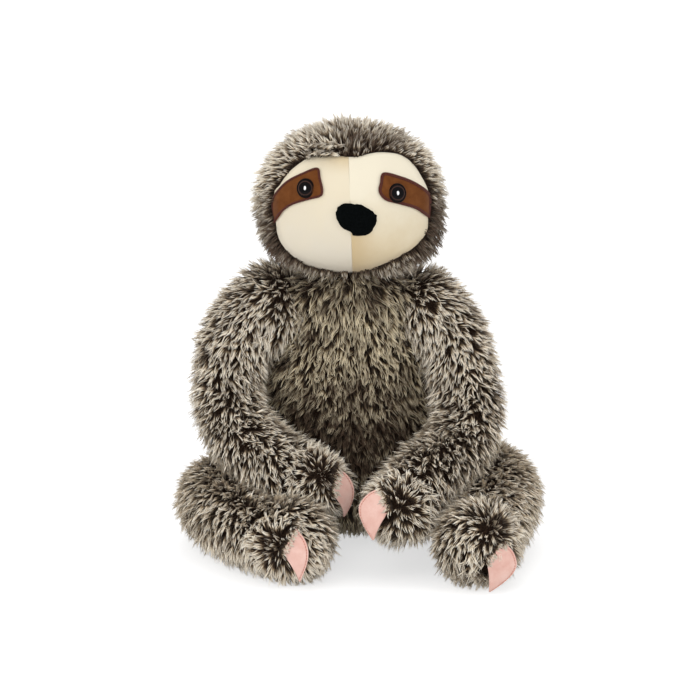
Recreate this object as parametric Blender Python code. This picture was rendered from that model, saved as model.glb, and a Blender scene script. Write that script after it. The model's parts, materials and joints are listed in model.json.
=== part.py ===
"""A sitting plush sloth, built from its sewn covers, fillings, face pieces, claws and plastic eyes.

The toy faces -Y and stands on z = 0. Left and right are the toy's own, so its left side is at +X.
Lengths are in metres. Every cover is one shell: backing cloth and the dense part of its pile.
"""
import math

import bmesh
import bpy
from mathutils import Matrix, Vector
from mathutils.bvhtree import BVHTree

# Clearances and cloth
gap = 0.0003
sweep_gap = 0.0008
cover_thickness = 0.0065
overrun = 0.006
floor_cut = 0.0005

# Where the middle of the seat stands
seat_x = -0.0052
seat_y = 0.0516

# Torso, a pear that leans forward at the neck
body_width = 0.158
body_depth = 0.128
body_height = 0.232

# Head, wider than it is high, and its seat on the torso
head_width = 0.150
head_depth = 0.124
head_height = 0.126
head_forward = 0.020
head_centre_height = 0.284
head_crown_power = 2
head_jowl_power = 4
neck_ball_radius = 0.021
neck_clearance = 0.005

# Face: a cream panel that looks up a little, let into the plush hood
face_tilt = math.radians(15)
face_width = 0.127
face_height = 0.097
face_drop = 0.0105
face_inset = 0.004
face_start = 0.008

# Eye patches, nose and eyes, in the plane of the face
patch_thickness = 0.0012
patch_length = 0.041
nose_width = 0.033
nose_height = 0.027
nose_side = 0.0048
nose_drop = 0.0166
nose_thickness = 0.0038
eye_radius = 0.0080
eye_dome = 0.0048
shank_radius = 0.0022
shank_length = 0.0125
washer_radius = 0.0085
washer_thickness = 0.0016
eye_spread_left = 0.0375
eye_rise_left = 0.0042
eye_spread_right = 0.0355
eye_rise_right = 0.0078

# Arms, which hang from the shoulders and bend forward in front of the belly
shoulder_spread = 0.060
shoulder_shift = -0.002
shoulder_forward = 0.008
shoulder_height = 0.192
shoulder_radius = 0.030
shoulder_hole_radius = 0.019
arm_radius = 0.0285
sweep_angle = math.radians(20)
arm_length = 0.150
hand_radius_left = 0.0305
hand_radius_right = 0.0270

# Legs, which go out from the hips and round to the front
hip_spread = 0.074
hip_back = 0.006
hip_radius = 0.033
hip_hole_radius = 0.021
leg_radius = 0.032
leg_length = 0.150
foot_radius = 0.035

# Claws, one double layer of suede on each paw
claw_length = 0.0335
claw_thickness = 0.0026

# Facet counts
limb_sides = 14
filling_sides = 10
body_sides = 22
head_sides = 22
socket_sides = 16
neck_sides = 20
eye_sides = 14
cap_steps = 3
socket_steps = 3
mouth_steps = 6
span_steps = 2
sweep_steps = 8
search_steps = 12

# Torso rings: height, half width and half depth as shares, and how far back as a share of the depth
body_ring_shares = (
    (0.000, 0.50, 0.40, 0.28),
    (0.030, 0.74, 0.62, 0.20),
    (0.105, 0.92, 0.84, 0.145),
    (0.215, 0.99, 0.95, 0.115),
    (0.345, 1.00, 1.00, 0.09),
    (0.475, 0.95, 0.95, 0.08),
    (0.600, 0.88, 0.88, 0.055),
    (0.710, 0.80, 0.80, 0.03),
    (0.810, 0.72, 0.71, -0.02),
    (0.888, 0.68, 0.61, -0.07),
    (0.948, 0.58, 0.47, -0.12),
    (0.987, 0.36, 0.25, -0.15),
)
body_top_share = -0.156

# Limb paths: outward, forward and upward of the joint as shares of the reach, then the radius that counts
arm_path_shares = {
    "left": (
        (0.00, 0.00, 0.00, "root"),
        (0.135, 0.033, -0.140, "limb"),
        (0.218, 0.120, -0.355, "limb"),
        (0.240, 0.253, -0.540, "limb"),
        (0.150, 0.440, -0.690, "limb"),
        (0.000, 0.640, -0.770, "limb"),
        (-0.113, 0.76, -0.887, "paw"),
    ),
    "right": (
        (0.00, 0.00, 0.00, "root"),
        (0.160, 0.040, -0.140, "limb"),
        (0.232, 0.120, -0.350, "limb"),
        (0.207, 0.253, -0.547, "limb"),
        (0.093, 0.387, -0.667, "limb"),
        (-0.093, 0.493, -0.773, "limb"),
        (-0.233, 0.547, -0.827, "paw"),
    ),
}

# Leg paths lie on the floor: outward and forward of the hip, and how far the leg is raised off the floor
leg_path_shares = {
    "left": (
        (0.00, 0.00, 0.00, "root"),
        (0.205, 0.080, 0.030, "limb"),
        (0.262, 0.280, 0.050, "limb"),
        (0.240, 0.540, 0.040, "limb"),
        (0.200, 0.790, 0.015, "limb"),
        (0.173, 0.987, 0.00, "paw"),
    ),
    "right": (
        (0.00, 0.00, 0.00, "root"),
        (0.165, 0.105, 0.020, "limb"),
        (0.190, 0.310, 0.040, "limb"),
        (0.105, 0.580, 0.030, "limb"),
        (-0.030, 0.780, 0.010, "limb"),
        (-0.187, 0.927, 0.00, "paw"),
    ),
}

# Edge of the face panel, anticlockwise from its right side, as shares of its half width and half height
face_edge_shares = (
    (1.000, -0.06), (1.000, 0.31), (0.890, 0.65), (0.770, 0.85), (0.610, 0.96), (0.400, 1.00),
    (0.220, 0.97), (0.070, 0.90), (-0.107, 0.92), (-0.484, 0.95), (-0.660, 0.85), (-0.800, 0.70),
    (-0.937, 0.455), (-1.000, 0.31), (-0.975, -0.27), (-0.850, -0.636), (-0.610, -0.851),
    (-0.296, -0.95), (0.000, -0.98), (0.258, -0.94), (0.535, -0.80), (0.811, -0.587), (0.962, -0.322),
)

# Edge of an eye patch about the middle of its stripe, as shares of its reach across the face
patch_edge_shares = {
    "left": (
        (-0.40, 0.38), (-0.49, 0.14), (-0.49, -0.03), (-0.33, -0.19), (-0.06, -0.27), (0.23, -0.35),
        (0.46, -0.47), (0.46, -0.02), (0.23, 0.18), (-0.06, 0.32),
    ),
    "right": (
        (-0.42, 0.47), (-0.53, -0.03), (-0.46, -0.13), (-0.20, -0.19), (0.09, -0.30), (0.36, -0.52),
        (0.44, -0.63), (0.44, -0.10), (0.35, 0.07), (0.09, 0.26), (-0.16, 0.38),
    ),
}
patch_middle_shares = {"left": (1.04, 0.13), "right": (1.06, 0.13)}

# Edge of the nose, as shares of its half width and half height
nose_edge_shares = (
    (0.97, 0.20), (0.77, 0.43), (0.56, 0.66), (0.28, 0.84), (-0.04, 0.95), (-0.35, 1.00), (-0.64, 0.88),
    (-0.87, 0.63), (-1.00, 0.24), (-0.87, -0.16), (-0.68, -0.38), (-0.43, -0.62), (-0.20, -0.88),
    (0.10, -1.00), (0.42, -0.94), (0.68, -0.70), (0.89, -0.35), (0.99, -0.06),
)
# How the nose rises: size of the ring, and its height as a share of the nose's thickness
nose_level_shares = ((0.55, 0.00), (1.00, 0.00), (1.00, 0.40), (0.90, 0.72), (0.58, 0.94))

# Claw sections from root to tip: along and across for the inner edge, then for the outer edge
full_claw_shares = (
    (0.226, -0.205, -0.226, 0.205),
    (0.300, -0.190, -0.070, 0.400),
    (0.400, -0.165, 0.110, 0.520),
    (0.510, -0.125, 0.300, 0.570),
    (0.630, -0.090, 0.490, 0.510),
    (0.750, -0.055, 0.680, 0.365),
    (0.870, -0.025, 0.860, 0.180),
    (1.000, -0.005, 1.000, 0.012),
)
slim_claw_shares = (
    (0.226, -0.205, -0.226, 0.205),
    (0.310, -0.190, -0.050, 0.310),
    (0.410, -0.165, 0.140, 0.360),
    (0.525, -0.120, 0.330, 0.360),
    (0.645, -0.080, 0.525, 0.305),
    (0.764, -0.043, 0.716, 0.205),
    (0.883, -0.017, 0.883, 0.095),
    (1.000, -0.005, 1.000, 0.012),
)
claw_section_shares = {
    "hand_left": full_claw_shares,
    "hand_right": slim_claw_shares,
    "foot_left": full_claw_shares,
    "foot_right": slim_claw_shares,
}
claw_end_share = 0.55
# Round of a claw's edge: how far across the section, and its height above or below the middle
claw_round_shares = ((0, 0), (0.2, 1), (0.5, 1), (0.8, 1), (1, 0), (0.8, -1), (0.5, -1), (0.2, -1))

# Where each claw leaves its paw and where it points: right, up and toward the front of the face plane
claw_root_shares = {
    "hand_left": (-0.48, 0.14, 0.87),
    "hand_right": (0.60, 0.05, 0.80),
    "foot_left": (0.42, -0.22, 0.88),
    "foot_right": (-0.02, -0.04, 1.00),
}
claw_point_shares = {
    "hand_left": (-0.29, -0.956),
    "hand_right": (0.50, -0.866),
    "foot_left": (-0.04, -1.0),
    "foot_right": (0.203, -0.979),
}
claw_outer_side = {"hand_left": -1, "hand_right": 1, "foot_left": 1, "foot_right": 1}
claw_curl = {
    "hand_left": math.radians(24),
    "hand_right": math.radians(58),
    "foot_left": math.radians(24),
    "foot_right": math.radians(24),
}

# Finishes: colour, roughness
finishes = {
    "brown_plush": ((0.155, 0.125, 0.100, 1), 0.95),
    "polyester_fill": ((0.85, 0.85, 0.83, 1), 1.0),
    "cream_velboa": ((0.80, 0.73, 0.58, 1), 0.90),
    "brown_suede": ((0.19, 0.060, 0.018, 1), 0.80),
    "black_flock": ((0.004, 0.004, 0.005, 1), 0.85),
    "black_plastic": ((0.010, 0.008, 0.007, 1), 0.12),
    "white_plastic": ((0.80, 0.80, 0.78, 1), 0.45),
    "pink_suede": ((0.87, 0.55, 0.45, 1), 0.85),
}

side_sign = {"left": 1, "right": -1}
materials = {}
places = {}
RIGHT = Vector((1, 0, 0))
BACK = Vector((0, 1, 0))
UP = Vector((0, 0, 1))
face_up = Vector((0, math.sin(face_tilt), math.cos(face_tilt)))
face_out = Vector((0, -math.cos(face_tilt), math.sin(face_tilt)))


def clear_scene():
    """Remove the objects that the file opened with."""
    for item in list(bpy.data.objects):
        bpy.data.objects.remove(item, do_unlink=True)


def material(name):
    """Return the named finish as a material, made once."""
    if name not in materials:
        colour, roughness = finishes[name]
        finish = bpy.data.materials.new(name)
        finish.use_nodes = True
        shader = finish.node_tree.nodes["Principled BSDF"]
        shader.inputs["Base Color"].default_value = colour
        shader.inputs["Roughness"].default_value = roughness
        shader.inputs["Metallic"].default_value = 0
        finish.diffuse_color = colour
        materials[name] = finish
    return materials[name]


def loft(rings, closed=False):
    """Return a bmesh through rings of points; a ring of one point is a pole."""
    mesh = bmesh.new()
    loops = [[mesh.verts.new(point) for point in ring] for ring in rings]
    pairs = list(zip(loops, loops[1:]))
    if closed:
        pairs.append((loops[-1], loops[0]))
    for first, second in pairs:
        count = max(len(first), len(second))
        for index in range(count):
            after = (index + 1) % count
            if len(first) == 1:
                mesh.faces.new((first[0], second[after], second[index]))
            elif len(second) == 1:
                mesh.faces.new((first[index], first[after], second[0]))
            else:
                mesh.faces.new((first[index], first[after], second[after], second[index]))
    if not closed:
        for end in (loops[0], loops[-1]):
            if len(end) > 1:
                mesh.faces.new(end)
    bmesh.ops.triangulate(mesh, faces=mesh.faces[:])
    bmesh.ops.recalc_face_normals(mesh, faces=mesh.faces[:])
    return mesh


def add_object(name, mesh, finish, parent):
    """Put a mesh given in the toy's frame on an object whose origin is its parent's."""
    origin = toy_place(parent)
    bmesh.ops.transform(mesh, matrix=origin.inverted(), verts=mesh.verts[:])
    data = bpy.data.meshes.new(name)
    mesh.to_mesh(data)
    mesh.free()
    data.shade_smooth()
    data.set_sharp_from_angle(angle=math.radians(40))
    item = bpy.data.objects.new(name, data)
    bpy.context.scene.collection.objects.link(item)
    item.parent = parent
    if finish:
        data.materials.append(material(finish))
    return item


def guide(name, mesh, parent):
    """Add a construction shape that is only used to cut or to trim."""
    item = add_object(name, mesh, None, parent)
    item.hide_render = True
    item.display_type = "WIRE"
    return item


def boolean(item, cutter, operation="DIFFERENCE"):
    """Cut an object with another, or keep what they share."""
    step = item.modifiers.new(cutter.name, "BOOLEAN")
    step.operation = operation
    step.solver = "EXACT"
    step.object = cutter


def pivot(name, place, parent, axes=None):
    """Add an empty at a joint; place and axes are in the toy's frame."""
    item = bpy.data.objects.new(name, None)
    bpy.context.scene.collection.objects.link(item)
    turn = axes.to_4x4() if axes else Matrix.Identity(4)
    frame = Matrix.Translation(place) @ turn
    item.parent = parent
    item.matrix_local = toy_place(parent).inverted() @ frame if parent else frame
    places[item] = frame
    return item


def toy_place(item):
    """Return where an empty stands in the toy's frame."""
    return places[item]


def ellipse_ring(centre, across, along, sides):
    """Return the points of an ellipse with two half axes given as vectors."""
    steps = [2 * math.pi * index / sides for index in range(sides)]
    return [centre + across * math.cos(angle) + along * math.sin(angle) for angle in steps]


def egg(centre, half_sizes, sides):
    """Return an ellipsoid made of rings stacked along Z."""
    wide, deep, high = half_sizes
    levels = sides // 2
    rings = [[centre - UP * high]]
    for level in range(1, levels):
        angle = math.pi * level / levels
        middle = centre - UP * high * math.cos(angle)
        across = RIGHT * wide * math.sin(angle)
        along = BACK * deep * math.sin(angle)
        rings.append(ellipse_ring(middle, across, along, sides))
    rings.append([centre + UP * high])
    return loft(rings)


def socket(centre, radius, sides):
    """Return a ball whose flat facets all clear a round of the given radius."""
    clear = (radius + gap) / math.cos(math.pi / sides) ** 2
    return egg(centre, (clear, clear, clear), sides)


def torso(inset, sides):
    """Return the torso's form, drawn in evenly toward its middle by the inset."""
    half_width = body_width / 2
    half_depth = body_depth / 2
    half_height = body_height / 2
    low = inset - floor_cut
    high = body_height - inset
    rings = []
    for height, wide, deep, set_back in body_ring_shares:
        centre = BACK * body_depth * set_back + UP * (low + (high - low) * height)
        across = RIGHT * wide * (half_width - inset)
        along = BACK * deep * (half_depth - inset)
        rings.append(ellipse_ring(centre, across, along, sides))
    rings.append([BACK * body_depth * body_top_share + UP * high])
    return loft(rings)


def curve_point(knots, span, share):
    """Return a point of the smooth curve through the knots."""
    last = len(knots) - 1
    before = knots[max(span - 1, 0)]
    start = knots[span]
    end = knots[min(span + 1, last)]
    after = knots[min(span + 2, last)]
    square = share * share
    cube = square * share
    return (
        start * 2
        + (end - before) * share
        + (before * 2 - start * 5 + end * 4 - after) * square
        + (start * 3 - before - end * 3 + after) * cube
    ) * (1 / 2)


def path_samples(stations):
    """Return points and radii along a limb, a few to each span."""
    points = [place for place, radius in stations]
    radii = [Vector((radius, 0, 0)) for place, radius in stations]
    samples = []
    for span in range(len(stations) - 1):
        for step in range(span_steps):
            share = step / span_steps
            samples.append((curve_point(points, span, share), curve_point(radii, span, share).x))
    samples.append(stations[-1])
    return samples


def limb(stations, inset, sides):
    """Return a tube along the stations, drawn in by the inset, with a ball shaped root and a round tip."""
    samples = [(place, radius - inset) for place, radius in path_samples(stations)]
    places_along = [place for place, radius in samples]
    count = len(samples)
    headings = []
    for index in range(count):
        ahead = places_along[min(index + 1, count - 1)]
        behind = places_along[max(index - 1, 0)]
        headings.append((ahead - behind).normalized())
    side = headings[0].orthogonal().normalized()
    rings = []
    root, root_radius = samples[0]
    other = headings[0].cross(side)
    rings.append([root - headings[0] * root_radius])
    for step in range(1, cap_steps + 1):
        angle = math.pi / 2 * step / cap_steps
        centre = root - headings[0] * root_radius * math.cos(angle)
        size = root_radius * math.sin(angle)
        rings.append(ellipse_ring(centre, side * size, other * size, sides))
    for (place, radius), heading in list(zip(samples, headings))[1:]:
        side = (side - heading * side.dot(heading)).normalized()
        other = heading.cross(side)
        rings.append(ellipse_ring(place, side * radius, other * radius, sides))
    tip, tip_radius = samples[-1]
    heading = headings[-1]
    for step in range(1, cap_steps):
        angle = math.pi / 2 * step / cap_steps
        size = tip_radius * math.cos(angle)
        centre = tip + heading * tip_radius * math.sin(angle)
        rings.append(ellipse_ring(centre, side * size, other * size, sides))
    rings.append([tip + heading * tip_radius])
    return loft(rings)


def turned(profile, place, heading, sides, closed=False):
    """Return a round piece: radius and height pairs turned about a heading."""
    side = heading.orthogonal().normalized()
    other = heading.cross(side)
    rings = []
    for radius, height in profile:
        centre = place + heading * height
        if radius == 0:
            rings.append([centre])
        else:
            rings.append(ellipse_ring(centre, side * radius, other * radius, sides))
    return loft(rings, closed)


def prism(outline, start, length):
    """Return an outline of the face plane, raised toward the front between two distances."""
    near = [head_centre() + RIGHT * x + face_up * y + face_out * start for x, y in outline]
    far = [point + face_out * length for point in near]
    return loft([near, far])


def block(low, high):
    """Return a box between two corners."""
    corners = ((low.x, low.y), (high.x, low.y), (high.x, high.y), (low.x, high.y))
    base = [Vector((x, y, low.z)) for x, y in corners]
    top = [Vector((point.x, point.y, high.z)) for point in base]
    return loft([base, top])


def head_centre():
    """Return the middle of the head."""
    return Vector((0, -head_forward, head_centre_height))


def head_sizes(inset):
    """Return the head's half sizes, drawn in by the inset."""
    return (head_width / 2 - inset, head_depth / 2 - inset, head_height / 2 - inset)


def neck_centre():
    """Return the middle of the neck ball, on the seam between head and torso."""
    return Vector((0, -head_forward, head_centre_height - head_height / 2 - neck_ball_radius / 8))


def head_power(height):
    """Return how squarely the head rounds off above or below its middle."""
    return head_jowl_power if height < 0 else head_crown_power


def head_form(inset, sides):
    """Return the head's form, a round crown over full jowls, drawn in by the inset."""
    wide, deep, high = head_sizes(inset)
    centre = head_centre()
    levels = sides // 2
    rings = [[centre - UP * high]]
    for level in range(1, levels):
        height = -math.cos(math.pi * level / levels)
        share = math.sqrt(1 - abs(height) ** head_power(height))
        middle = centre + UP * high * height
        rings.append(ellipse_ring(middle, RIGHT * wide * share, BACK * deep * share, sides))
    rings.append([centre + UP * high])
    return loft(rings)


def head_level(point, inset):
    """Return a number that is 0 on the head's surface and grows outward, and how fast it grows."""
    sizes = head_sizes(inset)
    offset = point - head_centre()
    x, y, z = [offset[axis] / sizes[axis] for axis in range(3)]
    power = head_power(z)
    rise = math.copysign(power * abs(z) ** (power - 1), z)
    return x * x + y * y + abs(z) ** power - 1, Vector((2 * x / sizes[0], 2 * y / sizes[1], rise / sizes[2]))


def way_out(start, heading, inset):
    """Return how far the head's surface, drawn in by the inset, is from a point along a heading."""
    distance = head_width
    for _ in range(search_steps):
        value, growth = head_level(start + heading * distance, inset)
        distance -= value / growth.dot(heading)
    return distance


def on_face(x, y, inset):
    """Return the point of the head's surface, drawn in by the inset, seen at x and y of the face plane."""
    start = head_centre() + RIGHT * x + face_up * y
    return start + face_out * way_out(start, face_out, inset)


def face_normal(point):
    """Return the head surface's outward direction at a point near it."""
    return head_level(point, face_inset)[1].normalized()


def limb_radius(kind, root, middle, paw):
    """Return the radius that a row of a path names."""
    return {"root": root, "limb": middle, "paw": paw}[kind]


def arm_stations(side, extra=0):
    """Return the arm's path and radii, with the radius grown by an extra."""
    paw = hand_radius_left if side == "left" else hand_radius_right
    joint = shoulder_centre(side)
    stations = []
    for outward, forward, upward, kind in arm_path_shares[side]:
        offset = RIGHT * outward * side_sign[side] - BACK * forward + UP * upward
        radius = limb_radius(kind, shoulder_radius, arm_radius, paw)
        stations.append((joint + offset * arm_length, radius + extra))
    return stations


def leg_stations(side, extra=0):
    """Return the leg's path and radii; each part of it lies on the floor or is raised by its share."""
    joint = hip_centre(side)
    stations = []
    for outward, forward, raised, kind in leg_path_shares[side]:
        radius = limb_radius(kind, hip_radius, leg_radius, foot_radius)
        offset = RIGHT * outward * side_sign[side] - BACK * forward
        place = joint + offset * leg_length
        place.z = radius - floor_cut + raised * leg_length
        stations.append((place, radius + extra))
    return stations


def shoulder_centre(side):
    """Return the middle of a shoulder."""
    return Vector((shoulder_spread * side_sign[side] + shoulder_shift, -shoulder_forward, shoulder_height))


def hip_centre(side):
    """Return the middle of a hip."""
    return Vector((hip_spread * side_sign[side], hip_back, hip_radius - floor_cut))


def limb_socket(side, stations):
    """Return the round hollow in the torso that a limb's root turns in, about the axis across the toy."""
    joint, root_radius = stations[0]
    outward = RIGHT * side_sign[side]
    near = path_samples(stations)[: 2 * span_steps]
    facet = math.cos(math.pi / socket_sides) * math.cos(math.pi / 4 / socket_steps)
    clear = (root_radius + gap) / facet
    profile = [(0, -clear)]
    for step in range(1, socket_steps):
        angle = math.pi / 2 * step / socket_steps
        profile.append((clear * math.sin(angle), -clear * math.cos(angle)))
    reach = body_width / 2 + overrun - joint.dot(outward)
    for step in range(mouth_steps + 1):
        across = reach * step / mouth_steps
        size = root_radius
        for place, radius in near:
            offset = place - joint
            along = offset.dot(outward) - across
            away = math.hypot(offset.y, offset.z)
            size = max(size, away + math.sqrt(max(radius * radius - along * along, 0)))
        profile.append(((size + sweep_gap) / facet, across))
    profile.append((0, reach))
    return turned(profile, joint, outward, socket_sides)


def claw_frame(name, paw, reach):
    """Return the root's middle, the direction to the tip, the outward normal and the convex side."""
    right, up, out = claw_root_shares[name]
    normal = (RIGHT * right + face_up * up + face_out * out).normalized()
    right, up = claw_point_shares[name]
    pointing = RIGHT * right + face_up * up
    pointing = (pointing - normal * pointing.dot(normal)).normalized()
    root = paw + normal * reach
    across = normal.cross(pointing) * claw_outer_side[name]
    return root, pointing, normal, across


def claw_mesh(name, paw, reach):
    """Return a crescent claw, two layers thick at its middle, that curls in toward the paw."""
    root, pointing, normal, across = claw_frame(name, paw, reach)
    half = claw_thickness / 2
    bend = claw_curl[name] / claw_length
    sections = claw_section_shares[name]
    straight = claw_length * sections[0][0]

    def bent(along, side, lift):
        """Return a point of the claw after its curl."""
        distance = max(along * claw_length - straight, 0)
        before = min(along * claw_length, straight)
        angle = distance * bend
        forward = before + math.sin(angle) / bend
        inward = (1 - math.cos(angle)) / bend
        tilt = normal * math.cos(angle) + pointing * math.sin(angle)
        return root + pointing * forward - normal * inward + across * side * claw_length + tilt * lift

    rings = []
    ends = (0, len(sections) - 1)
    for index, (inner_along, inner_side, outer_along, outer_side) in enumerate(sections):
        height = half * (claw_end_share if index in ends else 1)
        ring = []
        for share, lift in claw_round_shares:
            along = inner_along + (outer_along - inner_along) * share
            side = inner_side + (outer_side - inner_side) * share
            ring.append(bent(along, side, lift * height))
        rings.append(ring)
    return loft(rings)


def claw_axes(name, paw, reach):
    """Return axes whose X runs along the claw's root edge, so that turning by X lifts the tip away."""
    root, pointing, normal, across = claw_frame(name, paw, reach)
    inner_along, inner_side, outer_along, outer_side = claw_section_shares[name][0]
    edge = pointing * (outer_along - inner_along) + across * (outer_side - inner_side)
    edge = edge.normalized() * -claw_outer_side[name]
    third = edge.cross(normal).normalized()
    return Matrix((edge, normal, third)).transposed()


def room_between(first, second):
    """Return the least distance from the corners of each of two meshes to the other."""
    room = math.inf
    for mesh, other in ((first, second), (second, first)):
        tree = BVHTree.FromBMesh(other)
        for corner in mesh.verts:
            room = min(room, tree.find_nearest(corner.co)[3])
    return room


def claw_reach(name, stations):
    """Return how far from the paw's middle a claw lies when it rests on the paw's facets."""
    paw, radius = stations[-1]
    cover = limb(stations, 0, limb_sides)
    reach = radius + gap + claw_thickness / 2
    for _ in range(cap_steps):
        claw = claw_mesh(name, paw, reach)
        reach -= room_between(claw, cover) - gap
        claw.free()
    cover.free()
    return reach


def floor_block():
    """Return the space under the floor plane."""
    reach = body_width + leg_length
    return block(Vector((-reach, -reach, -body_height)), Vector((reach, reach, 0)))


def build_body(toy, head_clearance, sockets, floor):
    """Build the torso's cover and filling, hollowed where neck, arms and legs turn."""
    cover = add_object("body_skin", torso(0, body_sides), "brown_plush", toy)
    boolean(cover, guide("body_hollow", torso(cover_thickness, socket_sides), toy))
    filling = add_object("body_stuffing", torso(cover_thickness + gap, socket_sides), "polyester_fill", toy)
    for item in (cover, filling):
        for cutter in [head_clearance] + sockets:
            boolean(item, cutter)
    boolean(cover, floor)


def build_head(head, neck_socket):
    """Build the hood, the filling, the two face panels and what is sewn on them."""
    centre = head_centre()
    hollow = guide("head_hollow", head_form(cover_thickness, head_sides), head)
    edge = [(x * face_width / 2, y * face_height / 2 - face_drop) for x, y in face_edge_shares]
    opening_edge = [
        (x * (face_width / 2 + gap), y * (face_height / 2 + gap) - face_drop) for x, y in face_edge_shares
    ]
    opening = guide("face_opening", prism(opening_edge, face_start - gap, head_depth), head)
    panel = guide("face_outline", prism(edge, face_start, head_depth), head)

    hood = add_object("head_skin", head_form(0, head_sides), "brown_plush", head)
    filling = head_form(cover_thickness + gap, head_sides)
    filling = add_object("head_stuffing", filling, "polyester_fill", head)
    boolean(hood, hollow)
    boolean(hood, opening)
    boolean(hood, neck_socket)
    boolean(filling, neck_socket)

    for side in ("left", "right"):
        sign = side_sign[side]
        half = block(
            Vector((gap / 2, -head_depth, centre.z - head_height)),
            Vector((head_width, head_depth, centre.z + head_height)),
        )
        bmesh.ops.scale(half, vec=(sign, 1, 1), verts=half.verts[:])
        if sign < 0:
            bmesh.ops.reverse_faces(half, faces=half.faces[:])
        half = guide("face_half_" + side, half, head)
        bore, pocket = build_eye(side, head)
        face = add_object("face_panel_" + side, head_form(face_inset, head_sides), "cream_velboa", head)
        boolean(face, hollow)
        boolean(face, panel, "INTERSECT")
        boolean(face, half, "INTERSECT")
        boolean(face, bore)
        boolean(filling, pocket)
        build_patch(side, head, bore)
    build_nose(head)


def build_eye(side, head):
    """Build one plastic eye and its washer; return the bore for its shank and the filling's pocket."""
    spread, rise = {
        "left": (eye_spread_left, eye_rise_left),
        "right": (-eye_spread_right, eye_rise_right),
    }[side]
    surface = on_face(spread, rise, face_inset)
    heading = face_normal(surface)
    base = patch_thickness + gap * 2
    steps = cap_steps + 1
    profile = [(0, base + eye_dome)]
    for step in range(1, steps + 1):
        angle = math.pi / 2 * step / steps
        profile.append((eye_radius * math.sin(angle), base + eye_dome * math.cos(angle)))
    profile += [(shank_radius, base), (shank_radius, base - shank_length), (0, base - shank_length)]
    add_object("eye_" + side, turned(profile, surface, heading, eye_sides), "black_plastic", head)

    side_way = heading.orthogonal().normalized()
    rim = ellipse_ring(surface, side_way * washer_radius, heading.cross(side_way) * washer_radius, eye_sides)
    flat = 1 - math.cos(math.pi / head_sides)
    lowest = min(way_out(point, heading, cover_thickness) for point in rim)
    top = lowest - max(head_sizes(cover_thickness)) * flat - gap
    bottom = top - washer_thickness
    hole = shank_radius + gap
    washer = [(hole, top), (washer_radius, top), (washer_radius, bottom), (hole, bottom)]
    washer = turned(washer, surface, heading, eye_sides, closed=True)
    add_object("eye_washer_" + side, washer, "white_plastic", head)

    bore = [(0, overrun), (hole, overrun), (hole, -cover_thickness * 2), (0, -cover_thickness * 2)]
    bore = guide("eye_bore_" + side, turned(bore, surface, heading, eye_sides), head)
    end = base - shank_length - gap
    wide = washer_radius + gap
    under = bottom - gap
    pocket = [(0, overrun), (wide, overrun), (wide, under), (hole, under), (hole, end), (0, end)]
    pocket = guide("eye_pocket_" + side, turned(pocket, surface, heading, eye_sides), head)
    return bore, pocket


def build_patch(side, head, bore):
    """Build one suede eye patch, which follows the face panel."""
    sign = side_sign[side]
    middle_x, middle_y = patch_middle_shares[side]
    outline = [
        (sign * (x + middle_x) * patch_length, (y + middle_y) * patch_length)
        for x, y in patch_edge_shares[side]
    ]
    inner = face_inset - gap
    outer = inner - patch_thickness
    patch = add_object("eye_patch_" + side, head_form(outer, head_sides), "brown_suede", head)
    boolean(patch, guide("patch_bed_" + side, head_form(inner, head_sides), head))
    boolean(patch, guide("patch_outline_" + side, prism(outline, face_start, head_depth), head), "INTERSECT")
    boolean(patch, bore)


def build_nose(head):
    """Build the nose, a low flocked pad that follows the face across its seam."""
    rings = []
    for size, height in nose_level_shares:
        inset = face_inset - gap * 2 - nose_thickness * height
        ring = []
        for x, y in nose_edge_shares:
            across = nose_side + x * size * nose_width / 2
            up = y * size * nose_height / 2 - nose_drop
            ring.append(on_face(across, up, inset))
        rings.append(ring)
    under = on_face(nose_side, -nose_drop, face_inset - gap * 2)
    top = on_face(nose_side, -nose_drop, face_inset - gap * 2 - nose_thickness)
    add_object("nose_pad", loft([[under]] + rings + [[top]]), "black_flock", head)


def leg_sweep(side, parent):
    """Return the leg's form as it passes the arm while the arm starts to rise, to trim the arm with."""
    forms = []
    joint = shoulder_centre(side)
    for step in range(sweep_steps + 1):
        turn = Matrix.Rotation(sweep_angle * step / sweep_steps, 4, RIGHT)
        mesh = limb(leg_stations(side, gap if step == 0 else sweep_gap), 0, limb_sides)
        bmesh.ops.translate(mesh, vec=-joint, verts=mesh.verts[:])
        bmesh.ops.rotate(mesh, cent=Vector(), matrix=turn.to_3x3(), verts=mesh.verts[:])
        bmesh.ops.translate(mesh, vec=joint, verts=mesh.verts[:])
        forms.append(guide("leg_form_" + side + "_" + str(step), mesh, parent))
    return forms


def build_limb(kind, side, stations, cutters, parent):
    """Build the cover and the filling of one limb, trimmed where larger forms press into it.

    The cover is open toward the torso, and the filling reaches out through that hole.
    """
    joint, root_radius = stations[0]
    hole = {"arm": shoulder_hole_radius, "leg": hip_hole_radius}[kind]
    inward = RIGHT * -side_sign[side]
    rim = math.sqrt(root_radius ** 2 - hole ** 2)
    cover = add_object(kind + "_skin_" + side, limb(stations, 0, limb_sides), "brown_plush", parent)
    boolean(cover, guide(kind + "_hollow_" + side, limb(stations, cover_thickness, filling_sides), parent))
    end = root_radius + overrun
    cut = turned([(0, 0), (hole, 0), (hole, end), (0, end)], joint, inward, filling_sides)
    boolean(cover, guide(kind + "_hole_" + side, cut, parent))
    filling = limb(stations, cover_thickness + gap, filling_sides)
    filling = add_object(kind + "_stuffing_" + side, filling, "polyester_fill", parent)
    neck = hole - gap
    neck = turned([(0, 0), (neck, 0), (neck, rim), (0, rim)], joint, inward, filling_sides)
    boolean(filling, guide(kind + "_neck_" + side, neck, parent), "UNION")
    for item in (cover, filling):
        for cutter in cutters:
            boolean(item, cutter)
    return cover


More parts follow.
